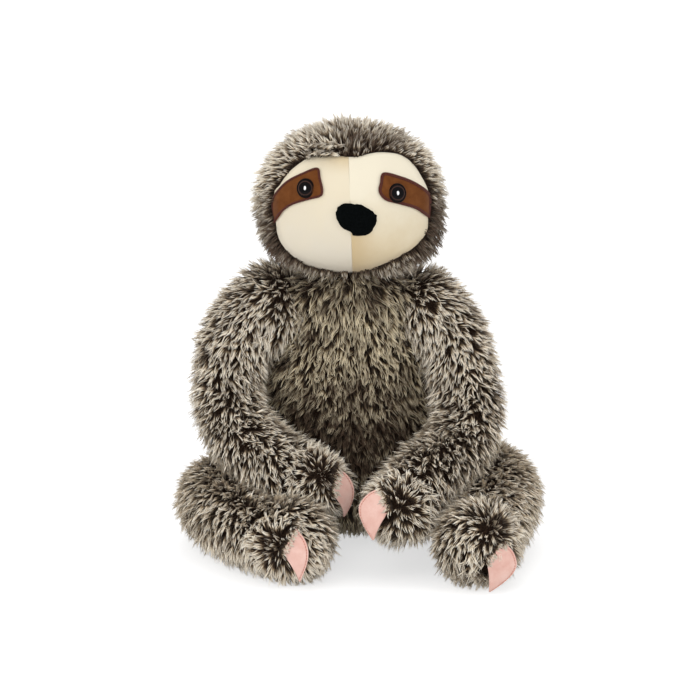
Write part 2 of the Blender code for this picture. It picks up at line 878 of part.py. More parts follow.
def build_claw(kind, side, stations, parent):
    """Build one claw on an empty that stands on its root edge."""
    name = kind + "_" + side
    paw = stations[-1][0]
    reach = claw_reach(name, stations)
    root = claw_frame(name, paw, reach)[0]
    hinge = pivot(kind + "_claw_root_" + side, root, parent, claw_axes(name, paw, reach))
    add_object(kind + "_claw_" + side, claw_mesh(name, paw, reach), "pink_suede", hinge)


def main():
    """Build the toy."""
    clear_scene()
    toy = bpy.data.objects.new("toy", None)
    bpy.context.scene.collection.objects.link(toy)
    toy.location = (seat_x, seat_y, 0)
    places[toy] = Matrix.Identity(4)

    neck = pivot("neck_pivot", neck_centre(), toy)
    head = pivot("head_pivot", neck_centre(), neck)
    neck_socket = guide("neck_socket", socket(neck_centre(), neck_ball_radius, neck_sides), toy)
    ball = egg(neck_centre(), (neck_ball_radius,) * 3, neck_sides)
    add_object("neck_stuffing", ball, "polyester_fill", neck)
    clearance = guide("head_clearance", head_form(-neck_clearance, head_sides), toy)
    floor = guide("floor", floor_block(), toy)
    body_form = guide("body_form", torso(-sweep_gap, body_sides), toy)
    sockets = [neck_socket]
    for side in ("left", "right"):
        sockets.append(guide("shoulder_socket_" + side, limb_socket(side, arm_stations(side)), toy))
        sockets.append(guide("hip_socket_" + side, limb_socket(side, leg_stations(side)), toy))
    for cutter in sockets[1:]:
        boolean(body_form, cutter)
    build_body(toy, clearance, sockets, floor)
    build_head(head, neck_socket)

    leg_forms = {}
    for side in ("left", "right"):
        hip = pivot("hip_pivot_" + side, hip_centre(side), toy)
        stations = leg_stations(side)
        cover = build_limb("leg", side, stations, [body_form], hip)
        boolean(cover, floor)
        leg_forms[side] = leg_sweep(side, toy)
        build_claw("foot", side, stations, hip)

    for side in ("left", "right"):
        shoulder = pivot("shoulder_pivot_" + side, shoulder_centre(side), toy)
        stations = arm_stations(side)
        build_limb("arm", side, stations, [body_form] + leg_forms[side], shoulder)
        build_claw("hand", side, stations, shoulder)
    bpy.context.view_layer.update()


main()
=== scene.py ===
"""A sitting plush sloth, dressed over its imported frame.

Long tipped pile grows as real strands from swollen covers, round a face of short cream pile with suede eye
patches, plastic eyes and a flocked nose, and every paw ends in a topstitched suede claw.
"""
import json
import logging
import math
from dataclasses import dataclass, field
from enum import Enum
from typing import Any, Sequence

import bpy
import numpy as np
from mathutils import Matrix, Vector


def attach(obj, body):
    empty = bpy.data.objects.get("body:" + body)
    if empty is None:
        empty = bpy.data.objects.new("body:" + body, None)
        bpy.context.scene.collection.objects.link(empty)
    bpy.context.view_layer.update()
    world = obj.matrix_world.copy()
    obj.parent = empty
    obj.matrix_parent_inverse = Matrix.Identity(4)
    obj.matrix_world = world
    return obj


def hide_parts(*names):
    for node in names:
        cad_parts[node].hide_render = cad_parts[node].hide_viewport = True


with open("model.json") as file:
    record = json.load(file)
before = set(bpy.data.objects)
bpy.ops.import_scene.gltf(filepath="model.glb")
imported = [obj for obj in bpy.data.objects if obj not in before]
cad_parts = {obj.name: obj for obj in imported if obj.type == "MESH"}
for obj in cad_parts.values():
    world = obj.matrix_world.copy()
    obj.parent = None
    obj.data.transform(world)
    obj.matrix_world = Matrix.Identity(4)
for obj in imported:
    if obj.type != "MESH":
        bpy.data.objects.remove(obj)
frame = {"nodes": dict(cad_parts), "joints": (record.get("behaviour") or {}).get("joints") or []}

LOG = logging.getLogger("plush_sloth")
MM = 0.001
SEAT = np.array((-5.2, 51.6, 0.0)) * MM  # the torso's axis on the floor, as in the frame
VIEW_TILT = math.radians(15)  # how far the photograph looks down, and how far the face looks up
RIGHT = np.array((1.0, 0.0, 0.0))
BACK = np.array((0.0, 1.0, 0.0))
UP = np.array((0.0, 0.0, 1.0))
FACE_UP = np.array((0.0, math.sin(VIEW_TILT), math.cos(VIEW_TILT)))
FACE_OUT = np.array((0.0, -math.cos(VIEW_TILT), math.sin(VIEW_TILT)))
PIXEL = 0.8 * MM  # what one pixel of the 700 x 700 photograph shows at the toy
PHOTO_AXIS = 350.0  # the column of pixels that shows the torso's axis
PHOTO_FLOOR = 534.5  # the row of pixels that shows the torso's axis on the floor
FLOOR_ROOM = 0.4 * MM  # nothing of the toy lies lower than this
BAKE_MAP = "OFBake"  # across it the tone of a strand, up it the way from root to tip

Array = np.ndarray


class Side(Enum):
    """The toy's own sides."""

    LEFT = "left"
    RIGHT = "right"

    @property
    def sign(self) -> int:
        """Return 1 for the side at +X and -1 for the other."""
        return 1 if self is Side.LEFT else -1


# Small tools for arrays, colours, meshes and shaders


def unit(rows: Array) -> Array:
    """Return vectors scaled to length 1.

    Args:
        rows: Vectors along the last axis.

    Returns:
        The scaled vectors.
    """
    return rows / np.maximum(np.linalg.norm(rows, axis=-1, keepdims=True), 1e-12)


def smooth(share: Array) -> Array:
    """Return a soft step from 0 to 1 for shares that are cut to that range."""
    share = np.clip(share, 0.0, 1.0)
    return share * share * (3 - 2 * share)


def waves(points: Array, size: float, seed: int) -> Array:
    """Return a smooth random field between about -1 and 1.

    Args:
        points: Places in metres.
        size: The distance over which the field changes, in metres.
        seed: Picks the field.

    Returns:
        One value to a point.
    """
    rng = np.random.default_rng(seed)
    total = np.zeros(len(points))
    count = 7
    for _ in range(count):
        heading = unit(rng.normal(size=3)) * rng.uniform(0.7, 1.5)
        total += np.sin(points @ heading * (2 * math.pi / size) + rng.uniform(0, 2 * math.pi))
    return total / math.sqrt(count) / 1.4


def clumps(points: Array, size: float, seed: int) -> Array:
    """Return 1 where the pile parts and shows its dark roots, in scattered small patches, and 0 between."""
    return smooth((waves(points, size, seed) - 0.35) / 0.7)


def curve_through(knots: Array, count: int, closed: bool = False) -> Array:
    """Return a smooth curve through knots.

    Args:
        knots: One row of values to a knot.
        count: Points to each span.
        closed: Whether the last knot joins the first.

    Returns:
        The curve's points, with the last knot where it is open.
    """
    last = len(knots)
    spans = last if closed else last - 1
    found = []
    for span in range(spans):
        ids = [span - 1, span, span + 1, span + 2]
        ids = [i % last for i in ids] if closed else [min(max(i, 0), last - 1) for i in ids]
        before, start, end, after = (knots[i] for i in ids)
        for step in range(count):
            t = step / count
            found.append(
                0.5 * (
                    2 * start + (end - before) * t
                    + (2 * before - 5 * start + 4 * end - after) * t * t
                    + (3 * start - before - 3 * end + after) * t ** 3
                )
            )
    if not closed:
        found.append(knots[-1])
    return np.array(found)


def linear(code: str) -> tuple[float, float, float, float]:
    """Return an sRGB hex colour as linear red, green, blue and alpha.

    Args:
        code: Six hex digits after a hash sign.

    Returns:
        The colour that a shader takes.
    """
    shares = [int(code[i:i + 2], 16) / 255 for i in (1, 3, 5)]
    values = [s / 12.92 if s <= 0.04045 else ((s + 0.055) / 1.055) ** 2.4 for s in shares]
    return values[0], values[1], values[2], 1.0


def add_node(tree: bpy.types.NodeTree, kind: str, inputs: dict[Any, Any], **settings: Any) -> bpy.types.Node:
    """Add a shader node with its settings and links.

    Args:
        tree: The material's node tree.
        kind: The node's type.
        inputs: A value, or a socket to link, for each input name or number.
        settings: Attributes of the node. A list named ramp gives places and colours of a colour ramp.

    Returns:
        The node.
    """
    made = tree.nodes.new(kind)
    ramp = settings.pop("ramp", None)
    for name, value in settings.items():
        setattr(made, name, value)
    for name, value in inputs.items():
        if isinstance(value, bpy.types.NodeSocket):
            tree.links.new(value, made.inputs[name])
        else:
            made.inputs[name].default_value = value
    if ramp:
        stops = made.color_ramp.elements
        while len(stops) < len(ramp):
            stops.new(0.5)
        for stop, (place, colour) in zip(stops, ramp):
            stop.position = place
            stop.color = linear(colour)
    return made


def new_material(name: str) -> tuple[bpy.types.Material, bpy.types.NodeTree, bpy.types.Node]:
    """Return a fresh material, its node tree and its Principled shader.

    Args:
        name: The material's name.

    Returns:
        The three, in that order.
    """
    made = bpy.data.materials.new(name)
    made.use_nodes = True
    return made, made.node_tree, made.node_tree.nodes["Principled BSDF"]


def build_mesh(
    name: str, points: Array, loops: Array, sizes: Array, uv: Array | None = None
) -> bpy.types.Object:
    """Make a mesh object from arrays.

    Args:
        name: The piece's name.
        points: Corners, one row each.
        loops: Corner numbers, face after face.
        sizes: How many corners each face has.
        uv: A place on the bake map for each entry of loops.

    Returns:
        The new object, linked to the scene.
    """
    mesh = bpy.data.meshes.new(name)
    mesh.vertices.add(len(points))
    mesh.vertices.foreach_set("co", np.ascontiguousarray(points, dtype=np.float32).ravel())
    mesh.loops.add(len(loops))
    mesh.loops.foreach_set("vertex_index", np.ascontiguousarray(loops, dtype=np.int32))
    mesh.polygons.add(len(sizes))
    starts = np.concatenate(([0], np.cumsum(sizes)[:-1])).astype(np.int32)
    mesh.polygons.foreach_set("loop_start", starts)
    mesh.polygons.foreach_set("loop_total", np.ascontiguousarray(sizes, dtype=np.int32))
    mesh.update(calc_edges=True)
    if uv is not None:
        layer = mesh.uv_layers.new(name=BAKE_MAP)
        layer.data.foreach_set("uv", np.ascontiguousarray(uv, dtype=np.float32).ravel())
    mesh.validate()
    mesh.shade_smooth()
    made = bpy.data.objects.new(name, mesh)
    bpy.context.scene.collection.objects.link(made)
    return made


def lend_normals(piece: bpy.types.Object, normals: Array) -> None:
    """Shade a piece by given directions, one to a corner point, instead of by its own faces."""
    piece.data.normals_split_custom_set_from_vertices(normals)


def grid_mesh(name: str, grid: Array, closed: bool, ends: bool) -> bpy.types.Object:
    """Make a mesh from rows of points.

    Args:
        name: The piece's name.
        grid: Rows by columns by 3.
        closed: Whether the last column joins the first.
        ends: Whether the first and last row are filled.

    Returns:
        The new object.
    """
    rows, columns = grid.shape[:2]
    ids = np.arange(rows * columns).reshape(rows, columns)
    after = np.roll(ids, -1, axis=1) if closed else ids[:, 1:]
    here = ids if closed else ids[:, :-1]
    quads = np.stack((here[:-1], after[:-1], after[1:], here[1:]), axis=-1).reshape(-1, 4)
    loops = quads.ravel()
    sizes = np.full(len(quads), 4)
    if ends:
        loops = np.concatenate((loops, ids[0][::-1], ids[-1]))
        sizes = np.concatenate((sizes, (columns, columns)))
    return build_mesh(name, grid.reshape(-1, 3), loops, sizes)


def face_outward(piece: bpy.types.Object) -> None:
    """Turn a closed piece's faces so that they point out.

    Args:
        piece: The piece.
    """
    mesh = piece.data
    mesh.calc_loop_triangles()
    places = np.empty(len(mesh.vertices) * 3)
    mesh.vertices.foreach_get("co", places)
    corners = np.empty(len(mesh.loop_triangles) * 3, dtype=np.int32)
    mesh.loop_triangles.foreach_get("vertices", corners)
    a, b, c = (places.reshape(-1, 3)[corners.reshape(-1, 3)[:, i]] for i in range(3))
    if np.einsum("ij,ij->i", a, np.cross(b, c)).sum() < 0:
        mesh.flip_normals()


def dress(
    piece: bpy.types.Object,
    body: str,
    materials: Sequence[bpy.types.Material],
    nodes: Sequence[str] = (),
) -> bpy.types.Object:
    """Give a finished piece its materials, its body and the nodes it stands for.

    Args:
        piece: The piece, in its place.
        body: The body that it rides on.
        materials: Its materials in slot order.
        nodes: The frame's nodes that it replaces.

    Returns:
        The piece.
    """
    piece.data.materials.clear()
    for finish in materials:
        piece.data.materials.append(finish)
    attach(piece, body)
    if nodes:
        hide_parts(*nodes)
    LOG.info("%s: %d faces on %s", piece.name, len(piece.data.polygons), body)
    return piece


# Finishes


@dataclass(frozen=True)
class TippedPile:
    """Long acrylic pile, dyed dark and discharged at the tips, so each tuft is pale over a dark root."""

    name: str
    root: str = "#0e0805"
    low: str = "#3b2a1d"
    middle: str = "#ab9577"
    high: str = "#f3e6d0"
    tip: str = "#fffaee"
    dark_tip: str = "#50392a"
    haze: str = "#f2e0c8"  # of the light that fibres scatter past their edges

    def build(self) -> bpy.types.Material:
        """Return the material; it reads root-to-tip and tone from the strands' own map.

        Returns:
            The material.
        """
        made, tree, shader = new_material(self.name)
        place = add_node(tree, "ShaderNodeUVMap", {}, uv_map=BAKE_MAP)
        parts = add_node(tree, "ShaderNodeSeparateXYZ", {0: place.outputs[0]})
        pale = add_node(
            tree, "ShaderNodeValToRGB", {0: parts.outputs[1]},
            ramp=[
                (0.0, self.root), (0.34, self.low), (0.46, self.middle), (0.60, self.high), (1.0, self.tip),
            ],
        )
        dark = add_node(
            tree, "ShaderNodeValToRGB", {0: parts.outputs[1]},
            ramp=[(0.0, self.root), (0.55, self.low), (1.0, self.dark_tip)],
        )
        colour = add_node(
            tree, "ShaderNodeMix", {0: parts.outputs[0], 6: dark.outputs[0], 7: pale.outputs[0]},
            data_type="RGBA",
        )
        tree.links.new(colour.outputs[2], shader.inputs["Base Color"])
        # Acrylic fibre is smooth but lies every way, so its gloss is broad and weak
        shader.inputs["Roughness"].default_value = 0.62
        shader.inputs["Specular IOR Level"].default_value = 0.2
        shader.inputs["Sheen Weight"].default_value = 0.50
        shader.inputs["Sheen Roughness"].default_value = 0.5
        shader.inputs["Sheen Tint"].default_value = linear(self.haze)
        return made


@dataclass(frozen=True)
class KnitGround:
    """Knitted polyester backing with the cut roots of the pile: near black brown, matt and grainy."""

    name: str = "plush_ground"
    dark: str = "#150d09"
    light: str = "#35271d"
    root_spacing: float = 1.1 * MM  # between the pile's roots

    def build(self) -> bpy.types.Material:
        """Return the material.

        Returns:
            The material.
        """
        made, tree, shader = new_material(self.name)
        place = add_node(tree, "ShaderNodeTexCoord", {})
        grain = add_node(
            tree, "ShaderNodeTexVoronoi", {"Vector": place.outputs["Object"], "Scale": 1 / self.root_spacing}
        )
        colour = add_node(
            tree, "ShaderNodeValToRGB", {0: grain.outputs["Distance"]},
            ramp=[(0.1, self.light), (0.7, self.dark)],
        )
        bump = add_node(
            tree, "ShaderNodeBump",
            {"Height": grain.outputs["Distance"], "Strength": 0.6, "Distance": self.root_spacing},
            invert=True,
        )
        tree.links.new(colour.outputs[0], shader.inputs["Base Color"])
        tree.links.new(bump.outputs[0], shader.inputs["Normal"])
        shader.inputs["Roughness"].default_value = 0.95
        shader.inputs["Specular IOR Level"].default_value = 0.1
        return made


@dataclass(frozen=True)
class Velboa:
    """Short dense knitted pile, which catches the light where its nap turns: soft cream with a low sheen."""

    name: str
    pale: str  # at the forehead
    warm: str  # at the chin
    painted_seam_shade: str  # painted shade: what the cream turns to beside the seam
    seam_x: float
    reach: float  # how far the painted seam shade goes from the seam; its sign is the side
    painted_shade_low: float  # the height where the painted seam shade is strongest
    painted_shade_high: float  # the height where it ends
    chin: float = 238 * MM  # the height where the cloth is warmest
    brow: float = 325 * MM  # the height where it is palest
    cloud: float = 17 * MM  # size of the lighter and darker drifts, a painted shade and sheen of the turning nap and the soft folds
    pile: float = 0.9 * MM  # width of a lock of nap, as coarse as it needs to be to show

    def build(self) -> bpy.types.Material:
        """Return the material.

        Returns:
            The material.
        """
        made, tree, shader = new_material(self.name)
        place = add_node(tree, "ShaderNodeTexCoord", {})
        # Painted shade and sheen: soft lighter and darker drifts where the nap turns and the cloth folds
        drift = add_node(
            tree, "ShaderNodeTexNoise",
            {"Vector": place.outputs["Object"], "Scale": 1 / self.cloud, "Detail": 4.0, "Roughness": 0.6},
        )
        parts = add_node(tree, "ShaderNodeSeparateXYZ", {0: place.outputs["Object"]})
        height = add_node(
            tree, "ShaderNodeMapRange", {0: parts.outputs[2], 1: self.chin, 2: self.brow, 3: -0.1, 4: 0.9}
        )
        mixed = add_node(
            tree, "ShaderNodeMath", {0: drift.outputs[0], 1: 0.5, 2: height.outputs[0]},
            operation="MULTIPLY_ADD",
        )
        cream = add_node(
            tree, "ShaderNodeValToRGB", {0: mixed.outputs[0]}, ramp=[(0.25, self.warm), (0.85, self.pale)]
        )
        # Painted shade: beside the seam, within one band of heights, the cream turns to the shade colour
        beside = add_node(
            tree, "ShaderNodeMapRange",
            {0: parts.outputs[0], 1: self.seam_x, 2: self.seam_x + self.reach, 3: 1.0, 4: 0.0},
            interpolation_type="SMOOTHSTEP",
        )
        along = add_node(
            tree, "ShaderNodeMapRange",
            {0: parts.outputs[2], 1: self.painted_shade_low, 2: self.painted_shade_high, 3: 1.0, 4: 0.0},
            interpolation_type="SMOOTHSTEP",
        )
        painted_shade_share = add_node(
            tree, "ShaderNodeMath", {0: beside.outputs[0], 1: along.outputs[0]}, operation="MULTIPLY"
        )
        colour = add_node(
            tree, "ShaderNodeMix", {0: painted_shade_share.outputs[0], 6: cream.outputs[0], 7: linear(self.painted_seam_shade)},
            data_type="RGBA",
        )
        nap = add_node(
            tree, "ShaderNodeTexNoise",
            {"Vector": place.outputs["Object"], "Scale": 1 / self.pile, "Detail": 3.0, "Roughness": 0.7},
        )
        bump = add_node(
            tree, "ShaderNodeBump", {"Height": nap.outputs[0], "Strength": 0.3, "Distance": 0.35 * MM}
        )
        tree.links.new(colour.outputs[2], shader.inputs["Base Color"])
        tree.links.new(bump.outputs[0], shader.inputs["Normal"])
        shader.inputs["Roughness"].default_value = 0.9
        shader.inputs["Specular IOR Level"].default_value = 0.12
        shader.inputs["Sheen Weight"].default_value = 0.12
        shader.inputs["Sheen Roughness"].default_value = 0.6
        return made


@dataclass(frozen=True)
class Suede:
    """Sanded microfibre: a short directionless nap that looks dry, with rubbed lighter and darker places."""

    name: str
    dark: str
    light: str
    cloud: float = 7 * MM  # size of the rubbed places
    nap: float = 0.35 * MM  # size of the sanded grain

    def build(self) -> bpy.types.Material:
        """Return the material.

        Returns:
            The material.
        """
        made, tree, shader = new_material(self.name)
        place = add_node(tree, "ShaderNodeTexCoord", {})
        rub = add_node(
            tree, "ShaderNodeTexNoise",
            {"Vector": place.outputs["Object"], "Scale": 1 / self.cloud, "Detail": 6.0, "Roughness": 0.65},
        )
        colour = add_node(
            tree, "ShaderNodeValToRGB", {0: rub.outputs[0]}, ramp=[(0.32, self.dark), (0.68, self.light)]
        )
        grain = add_node(
            tree, "ShaderNodeTexNoise",
            {"Vector": place.outputs["Object"], "Scale": 1 / self.nap, "Detail": 2.0},
        )
        bump = add_node(
            tree, "ShaderNodeBump", {"Height": grain.outputs[0], "Strength": 0.3, "Distance": 0.15 * MM}
        )
        tree.links.new(colour.outputs[0], shader.inputs["Base Color"])
        tree.links.new(bump.outputs[0], shader.inputs["Normal"])
        shader.inputs["Roughness"].default_value = 0.9
        shader.inputs["Specular IOR Level"].default_value = 0.12
        shader.inputs["Sheen Weight"].default_value = 0.06
        shader.inputs["Sheen Roughness"].default_value = 0.5
        return made


@dataclass(frozen=True)
class SatinThread:
    """Twisted embroidery thread laid side by side: fine ridges with a silky gloss."""

    name: str
    dark: str
    light: str
    thread: float = 0.4 * MM  # width of one thread

    def build(self) -> bpy.types.Material:
        """Return the material.

        Returns:
            The material.
        """
        made, tree, shader = new_material(self.name)
        place = add_node(tree, "ShaderNodeTexCoord", {})
        ply = add_node(
            tree, "ShaderNodeTexNoise",
            {"Vector": place.outputs["Object"], "Scale": 1 / self.thread, "Detail": 2.0},
        )
        colour = add_node(
            tree, "ShaderNodeValToRGB", {0: ply.outputs[0]}, ramp=[(0.35, self.dark), (0.65, self.light)]
        )
        bump = add_node(
            tree, "ShaderNodeBump", {"Height": ply.outputs[0], "Strength": 0.4, "Distance": 0.15 * MM}
        )
        tree.links.new(colour.outputs[0], shader.inputs["Base Color"])
        tree.links.new(bump.outputs[0], shader.inputs["Normal"])
        shader.inputs["Roughness"].default_value = 0.65
        shader.inputs["Specular IOR Level"].default_value = 0.2
        return made


@dataclass(frozen=True)
class Flock:
    """Short black fibre shot upright on to glue: it swallows light and shows only a faint grain."""

    name: str = "black_flock"
    dark: str = "#030404"
    light: str = "#0c0f10"
    clot: float = 1.3 * MM  # size of the clots of fibre

    def build(self) -> bpy.types.Material:
        """Return the material.

        Returns:
            The material.
        """
        made, tree, shader = new_material(self.name)
        place = add_node(tree, "ShaderNodeTexCoord", {})
        grain = add_node(
            tree, "ShaderNodeTexNoise",
            {"Vector": place.outputs["Object"], "Scale": 1 / self.clot, "Detail": 5.0, "Roughness": 0.7},
        )
        colour = add_node(
            tree, "ShaderNodeValToRGB", {0: grain.outputs[0]}, ramp=[(0.35, self.dark), (0.7, self.light)]
        )
        bump = add_node(
            tree, "ShaderNodeBump", {"Height": grain.outputs[0], "Strength": 0.7, "Distance": 0.5 * MM}
        )
        tree.links.new(colour.outputs[0], shader.inputs["Base Color"])
        tree.links.new(bump.outputs[0], shader.inputs["Normal"])
        shader.inputs["Roughness"].default_value = 1.0
        shader.inputs["Specular IOR Level"].default_value = 0.04
        return made


@dataclass(frozen=True)
class MouldedPlastic:
    """Injection moulded plastic: even colour with a little flow mottling, and a polished or plain skin."""

    name: str
    dark: str
    light: str
    roughness: float
    coat: float
    flow: float = 3 * MM  # size of the mottling

    def build(self) -> bpy.types.Material:
        """Return the material.

        Returns:
            The material.
        """
        made, tree, shader = new_material(self.name)
        place = add_node(tree, "ShaderNodeTexCoord", {})
        grain = add_node(
            tree, "ShaderNodeTexNoise",
            {"Vector": place.outputs["Object"], "Scale": 1 / self.flow, "Detail": 3.0},
        )
        colour = add_node(
            tree, "ShaderNodeValToRGB", {0: grain.outputs[0]}, ramp=[(0.3, self.dark), (0.7, self.light)]
        )
        tree.links.new(colour.outputs[0], shader.inputs["Base Color"])
        shader.inputs["Roughness"].default_value = self.roughness
        shader.inputs["Coat Weight"].default_value = self.coat
        shader.inputs["Coat Roughness"].default_value = 0.04
        return made


# Forms: each cover is a grid of rows, drawn in from the frame's form by the depth of the pile


@dataclass
class Shell:
    """A closed form made of rings, from one pole to the other."""

    grid: Array

    def normals(self) -> Array:
        """Return the outward direction at each point.

        Returns:
            One direction to each point of the grid.
        """
        along = np.gradient(self.grid, axis=0)
        around = np.roll(self.grid, -1, axis=1) - np.roll(self.grid, 1, axis=1)
        found = unit(np.cross(along, around))
        outward = self.grid - self.grid.mean(axis=1, keepdims=True)
        if np.einsum("ijk,ijk->", found, outward) < 0:
            found = -found
        return found

    def scatter(self, spacing: float, rng: np.random.Generator) -> tuple[Array, Array, Array]:
        """Spread points evenly over the form.

        Args:
            spacing: The mean distance between points.
            rng: Where the chance comes from.

        Returns:
            Points, outward directions, and directions from the first pole toward the last.
        """
        first = np.roll(self.grid, -1, axis=1)
        here, after = self.grid[:-1], first[:-1]
        above, beyond = self.grid[1:], first[1:]
        area = np.linalg.norm(np.cross(beyond - here, above - after), axis=-1) / 2
        total = np.cumsum(area.ravel())
        count = int(total[-1] / spacing ** 2)
        picks = (np.arange(count) + rng.random(count)) / count * total[-1]
        cells = np.minimum(np.searchsorted(total, picks), area.size - 1)
        row, column = np.divmod(cells, area.shape[1])
        u, v = rng.random((2, count, 1))
        normal = self.normals()
        around = np.roll(normal, -1, axis=1)
        point = (
            here[row, column] * (1 - u) * (1 - v) + after[row, column] * u * (1 - v)
            + above[row, column] * (1 - u) * v + beyond[row, column] * u * v
        )
        out = unit(normal[row, column] * (1 - u) + around[row, column] * u)
        along = unit(above[row, column] - here[row, column])
        return point, out, along

    def build(self, name: str, lumps: float, seed: int) -> bpy.types.Object:
        """Make the stuffed cover, a little lumpy, and flat where it meets the floor.

        Args:
            name: The piece's name.
            lumps: How far the filling pushes the cover in and out.
            seed: Picks the lumps.

        Returns:
            The piece.
        """
        grid = self.grid + self.normals() * (waves(self.grid.reshape(-1, 3), 38 * MM, seed)
                                             .reshape(self.grid.shape[:2])[..., None] * lumps)
        grid[..., 2] = np.maximum(grid[..., 2], FLOOR_ROOM)
        made = grid_mesh(name, grid, True, True)
        face_outward(made)
        return made


@dataclass
class Coat:
    """A growth of tufts: how long, how close, how far they lean, and how pale they are."""

    length: float = 13.5 * MM
    spacing: float = 3.05 * MM
    strands: int = 6
    underwool: int = 2  # how many strands of a tuft are short and dark
    lean: float = math.radians(44)
    wander: float = math.radians(25)
    width: float = 0.66 * MM  # a strand is drawn as wide as a few real fibres, so that it shows
    tone: float = 0.78
    droop: float = 0.12
    seed: int = 1

    def grow(
        self,
        names: Sequence[str],
        body: str,
        pile: bpy.types.Material,
        roots: Array,
        out: Array,
        way: Array,
        scale: Array,
        tone: Array,
        upright: Array | float = 0.0,
    ) -> None:
        """Grow a tuft from each root, in one mesh or in a few that share the roots in their order.

        Args:
            names: The pieces' names.
            body: The body that they ride on.
            pile: Their material.
            roots: Where the tufts stand.
            out: The cover's outward directions there.
            way: Where the pile is brushed to.
            scale: How long each tuft is, as a share of the coat's length.
            tone: How pale each tuft is, from 0 to 1.
            upright: How far each tuft is set up from its lean, from 0 to 1.
        """
        rng = np.random.default_rng(self.seed)
        count, many = len(roots), self.strands
        shape = (count, many, 1)
        way = unit(way - out * np.einsum("ij,ij->i", way, out)[:, None])
        side = np.cross(out, way)
        turn = rng.normal(0, self.wander, (count, 1))
        way, side = way * np.cos(turn) + side * np.sin(turn), side * np.cos(turn) - way * np.sin(turn)
        lean = np.clip(rng.normal(self.lean, math.radians(13), (count, 1)), 0.15, 1.3)
        lean = lean * (1 - np.broadcast_to(upright, count))[:, None]
        reach = self.length * scale[:, None] * rng.uniform(0.74, 1.18, (count, 1))
        tip = (out * np.cos(lean) + way * np.sin(lean)) * reach - UP * reach * self.droop
        bow = tip * 0.5 + out * reach * 0.09
        wool = (np.arange(many) < self.underwool)[None, :, None]
        ring = rng.uniform(0, 2 * math.pi, shape)
        spread = np.sqrt(rng.random(shape)) * self.spacing * 0.70
        offset = way[:, None] * np.cos(ring) * spread + side[:, None] * np.sin(ring) * spread
        gather = np.where(wool, 1.2, rng.uniform(0.10, 0.62, shape))
        stretch = np.where(wool, rng.uniform(0.50, 0.68, shape), rng.uniform(0.80, 1.06, shape))
        start = roots[:, None] + offset - out[:, None] * 0.8 * MM
        stray = rng.normal(0, 0.3 * MM, (count, many, 3))
        end = roots[:, None] + tip[:, None] * stretch + offset * gather + stray
        middle = roots[:, None] + bow[:, None] * stretch + offset * 0.92
        facing = np.broadcast_to(out[:, None], end.shape)
        across = unit(np.cross(end - start, facing))
        twist = rng.uniform(-1.25, 1.25, shape)
        across = across * np.cos(twist) + facing * np.sin(twist)
        corners = []
        for t, wide in ((0.0, 0.8), (0.42, 1.0), (0.76, 0.78)):
            centre = start * (1 - t) ** 2 + middle * 2 * t * (1 - t) + end * t * t
            half = across * self.width * wide / 2
            corners += [centre - half, centre + half]
        corners.append(end)
        points = np.stack(corners, axis=2).reshape(-1, 7, 3)
        points[..., 2] = np.maximum(points[..., 2], FLOOR_ROOM)
        total = count * many
        shade = tone[:, None] + rng.normal(0, 0.13, (count, 1)) + rng.normal(0, 0.12, (count, many))
        shade = np.where(wool[..., 0], 0.05, np.clip(shade, 0.02, 0.98)).reshape(-1, 1)
        left, right = shade - 0.004, shade + 0.004
        u = np.concatenate([left, right, right, left, left, right, right, left, left, right, shade], axis=1)
        v = np.tile((0, 0, 0.42, 0.42, 0.42, 0.42, 0.76, 0.76, 0.76, 0.76, 1.0), (total, 1))
        uv = np.stack((u, v), axis=-1)
        # Light comes through real pile, so a strand is shaded more by the cover than by its own flat
        flat = unit(np.cross(across, end - start))
        soft = unit(facing * 0.55 + flat * 0.60 + UP * 0.2 + rng.normal(0, 0.18, end.shape))
        soft = soft.reshape(-1, 3)
        for name, part in zip(names, np.array_split(np.arange(total), len(names))):
            loops = np.arange(len(part))[:, None] * 7 + np.array((0, 1, 3, 2, 2, 3, 5, 4, 4, 5, 6))
            sizes = np.tile((4, 4, 3), len(part))
            places = uv[part].reshape(-1, 2)
            piece = build_mesh(name, points[part].reshape(-1, 3), loops.ravel(), sizes, places)
            lend_normals(piece, np.repeat(soft[part], 7, axis=0))
            dress(piece, body, [pile])


def front_spots(points: Array, out: Array, spots: Sequence[tuple[float, float, float, float]]) -> Array:
    """Return how much darker a place on the front or a side is drawn where the pile parts near it, and where
    painted shade lies.

    Args:
        points: Places on a cover.
        out: The outward directions there.
        spots: Column, row and radius in the photograph's pixels, and strength, for each parting and each
            place of painted shade.

    Returns:
        The sum of the strengths at each place.
    """
    local = points - SEAT
    column = PHOTO_AXIS + local @ RIGHT / PIXEL
    row = PHOTO_FLOOR - local @ FACE_UP / PIXEL
    facing = smooth(out @ FACE_OUT * 1.5 + 0.9)
    total = np.zeros(len(points))
    for x, y, radius, strength in spots:
        total += strength * np.exp(-((column - x) ** 2 + (row - y) ** 2) / radius ** 2)
    return total * facing


def from_photo(column: float, row: float) -> tuple[float, float]:
    """Return the distances right of the torso's axis and up the picture for a pixel, in metres."""
    return (column - PHOTO_AXIS) * PIXEL, (PHOTO_FLOOR - row) * PIXEL


PILE_DEPTH = 6.0 * MM  # from the frame's form down to the knitted backing


# Torso and neck


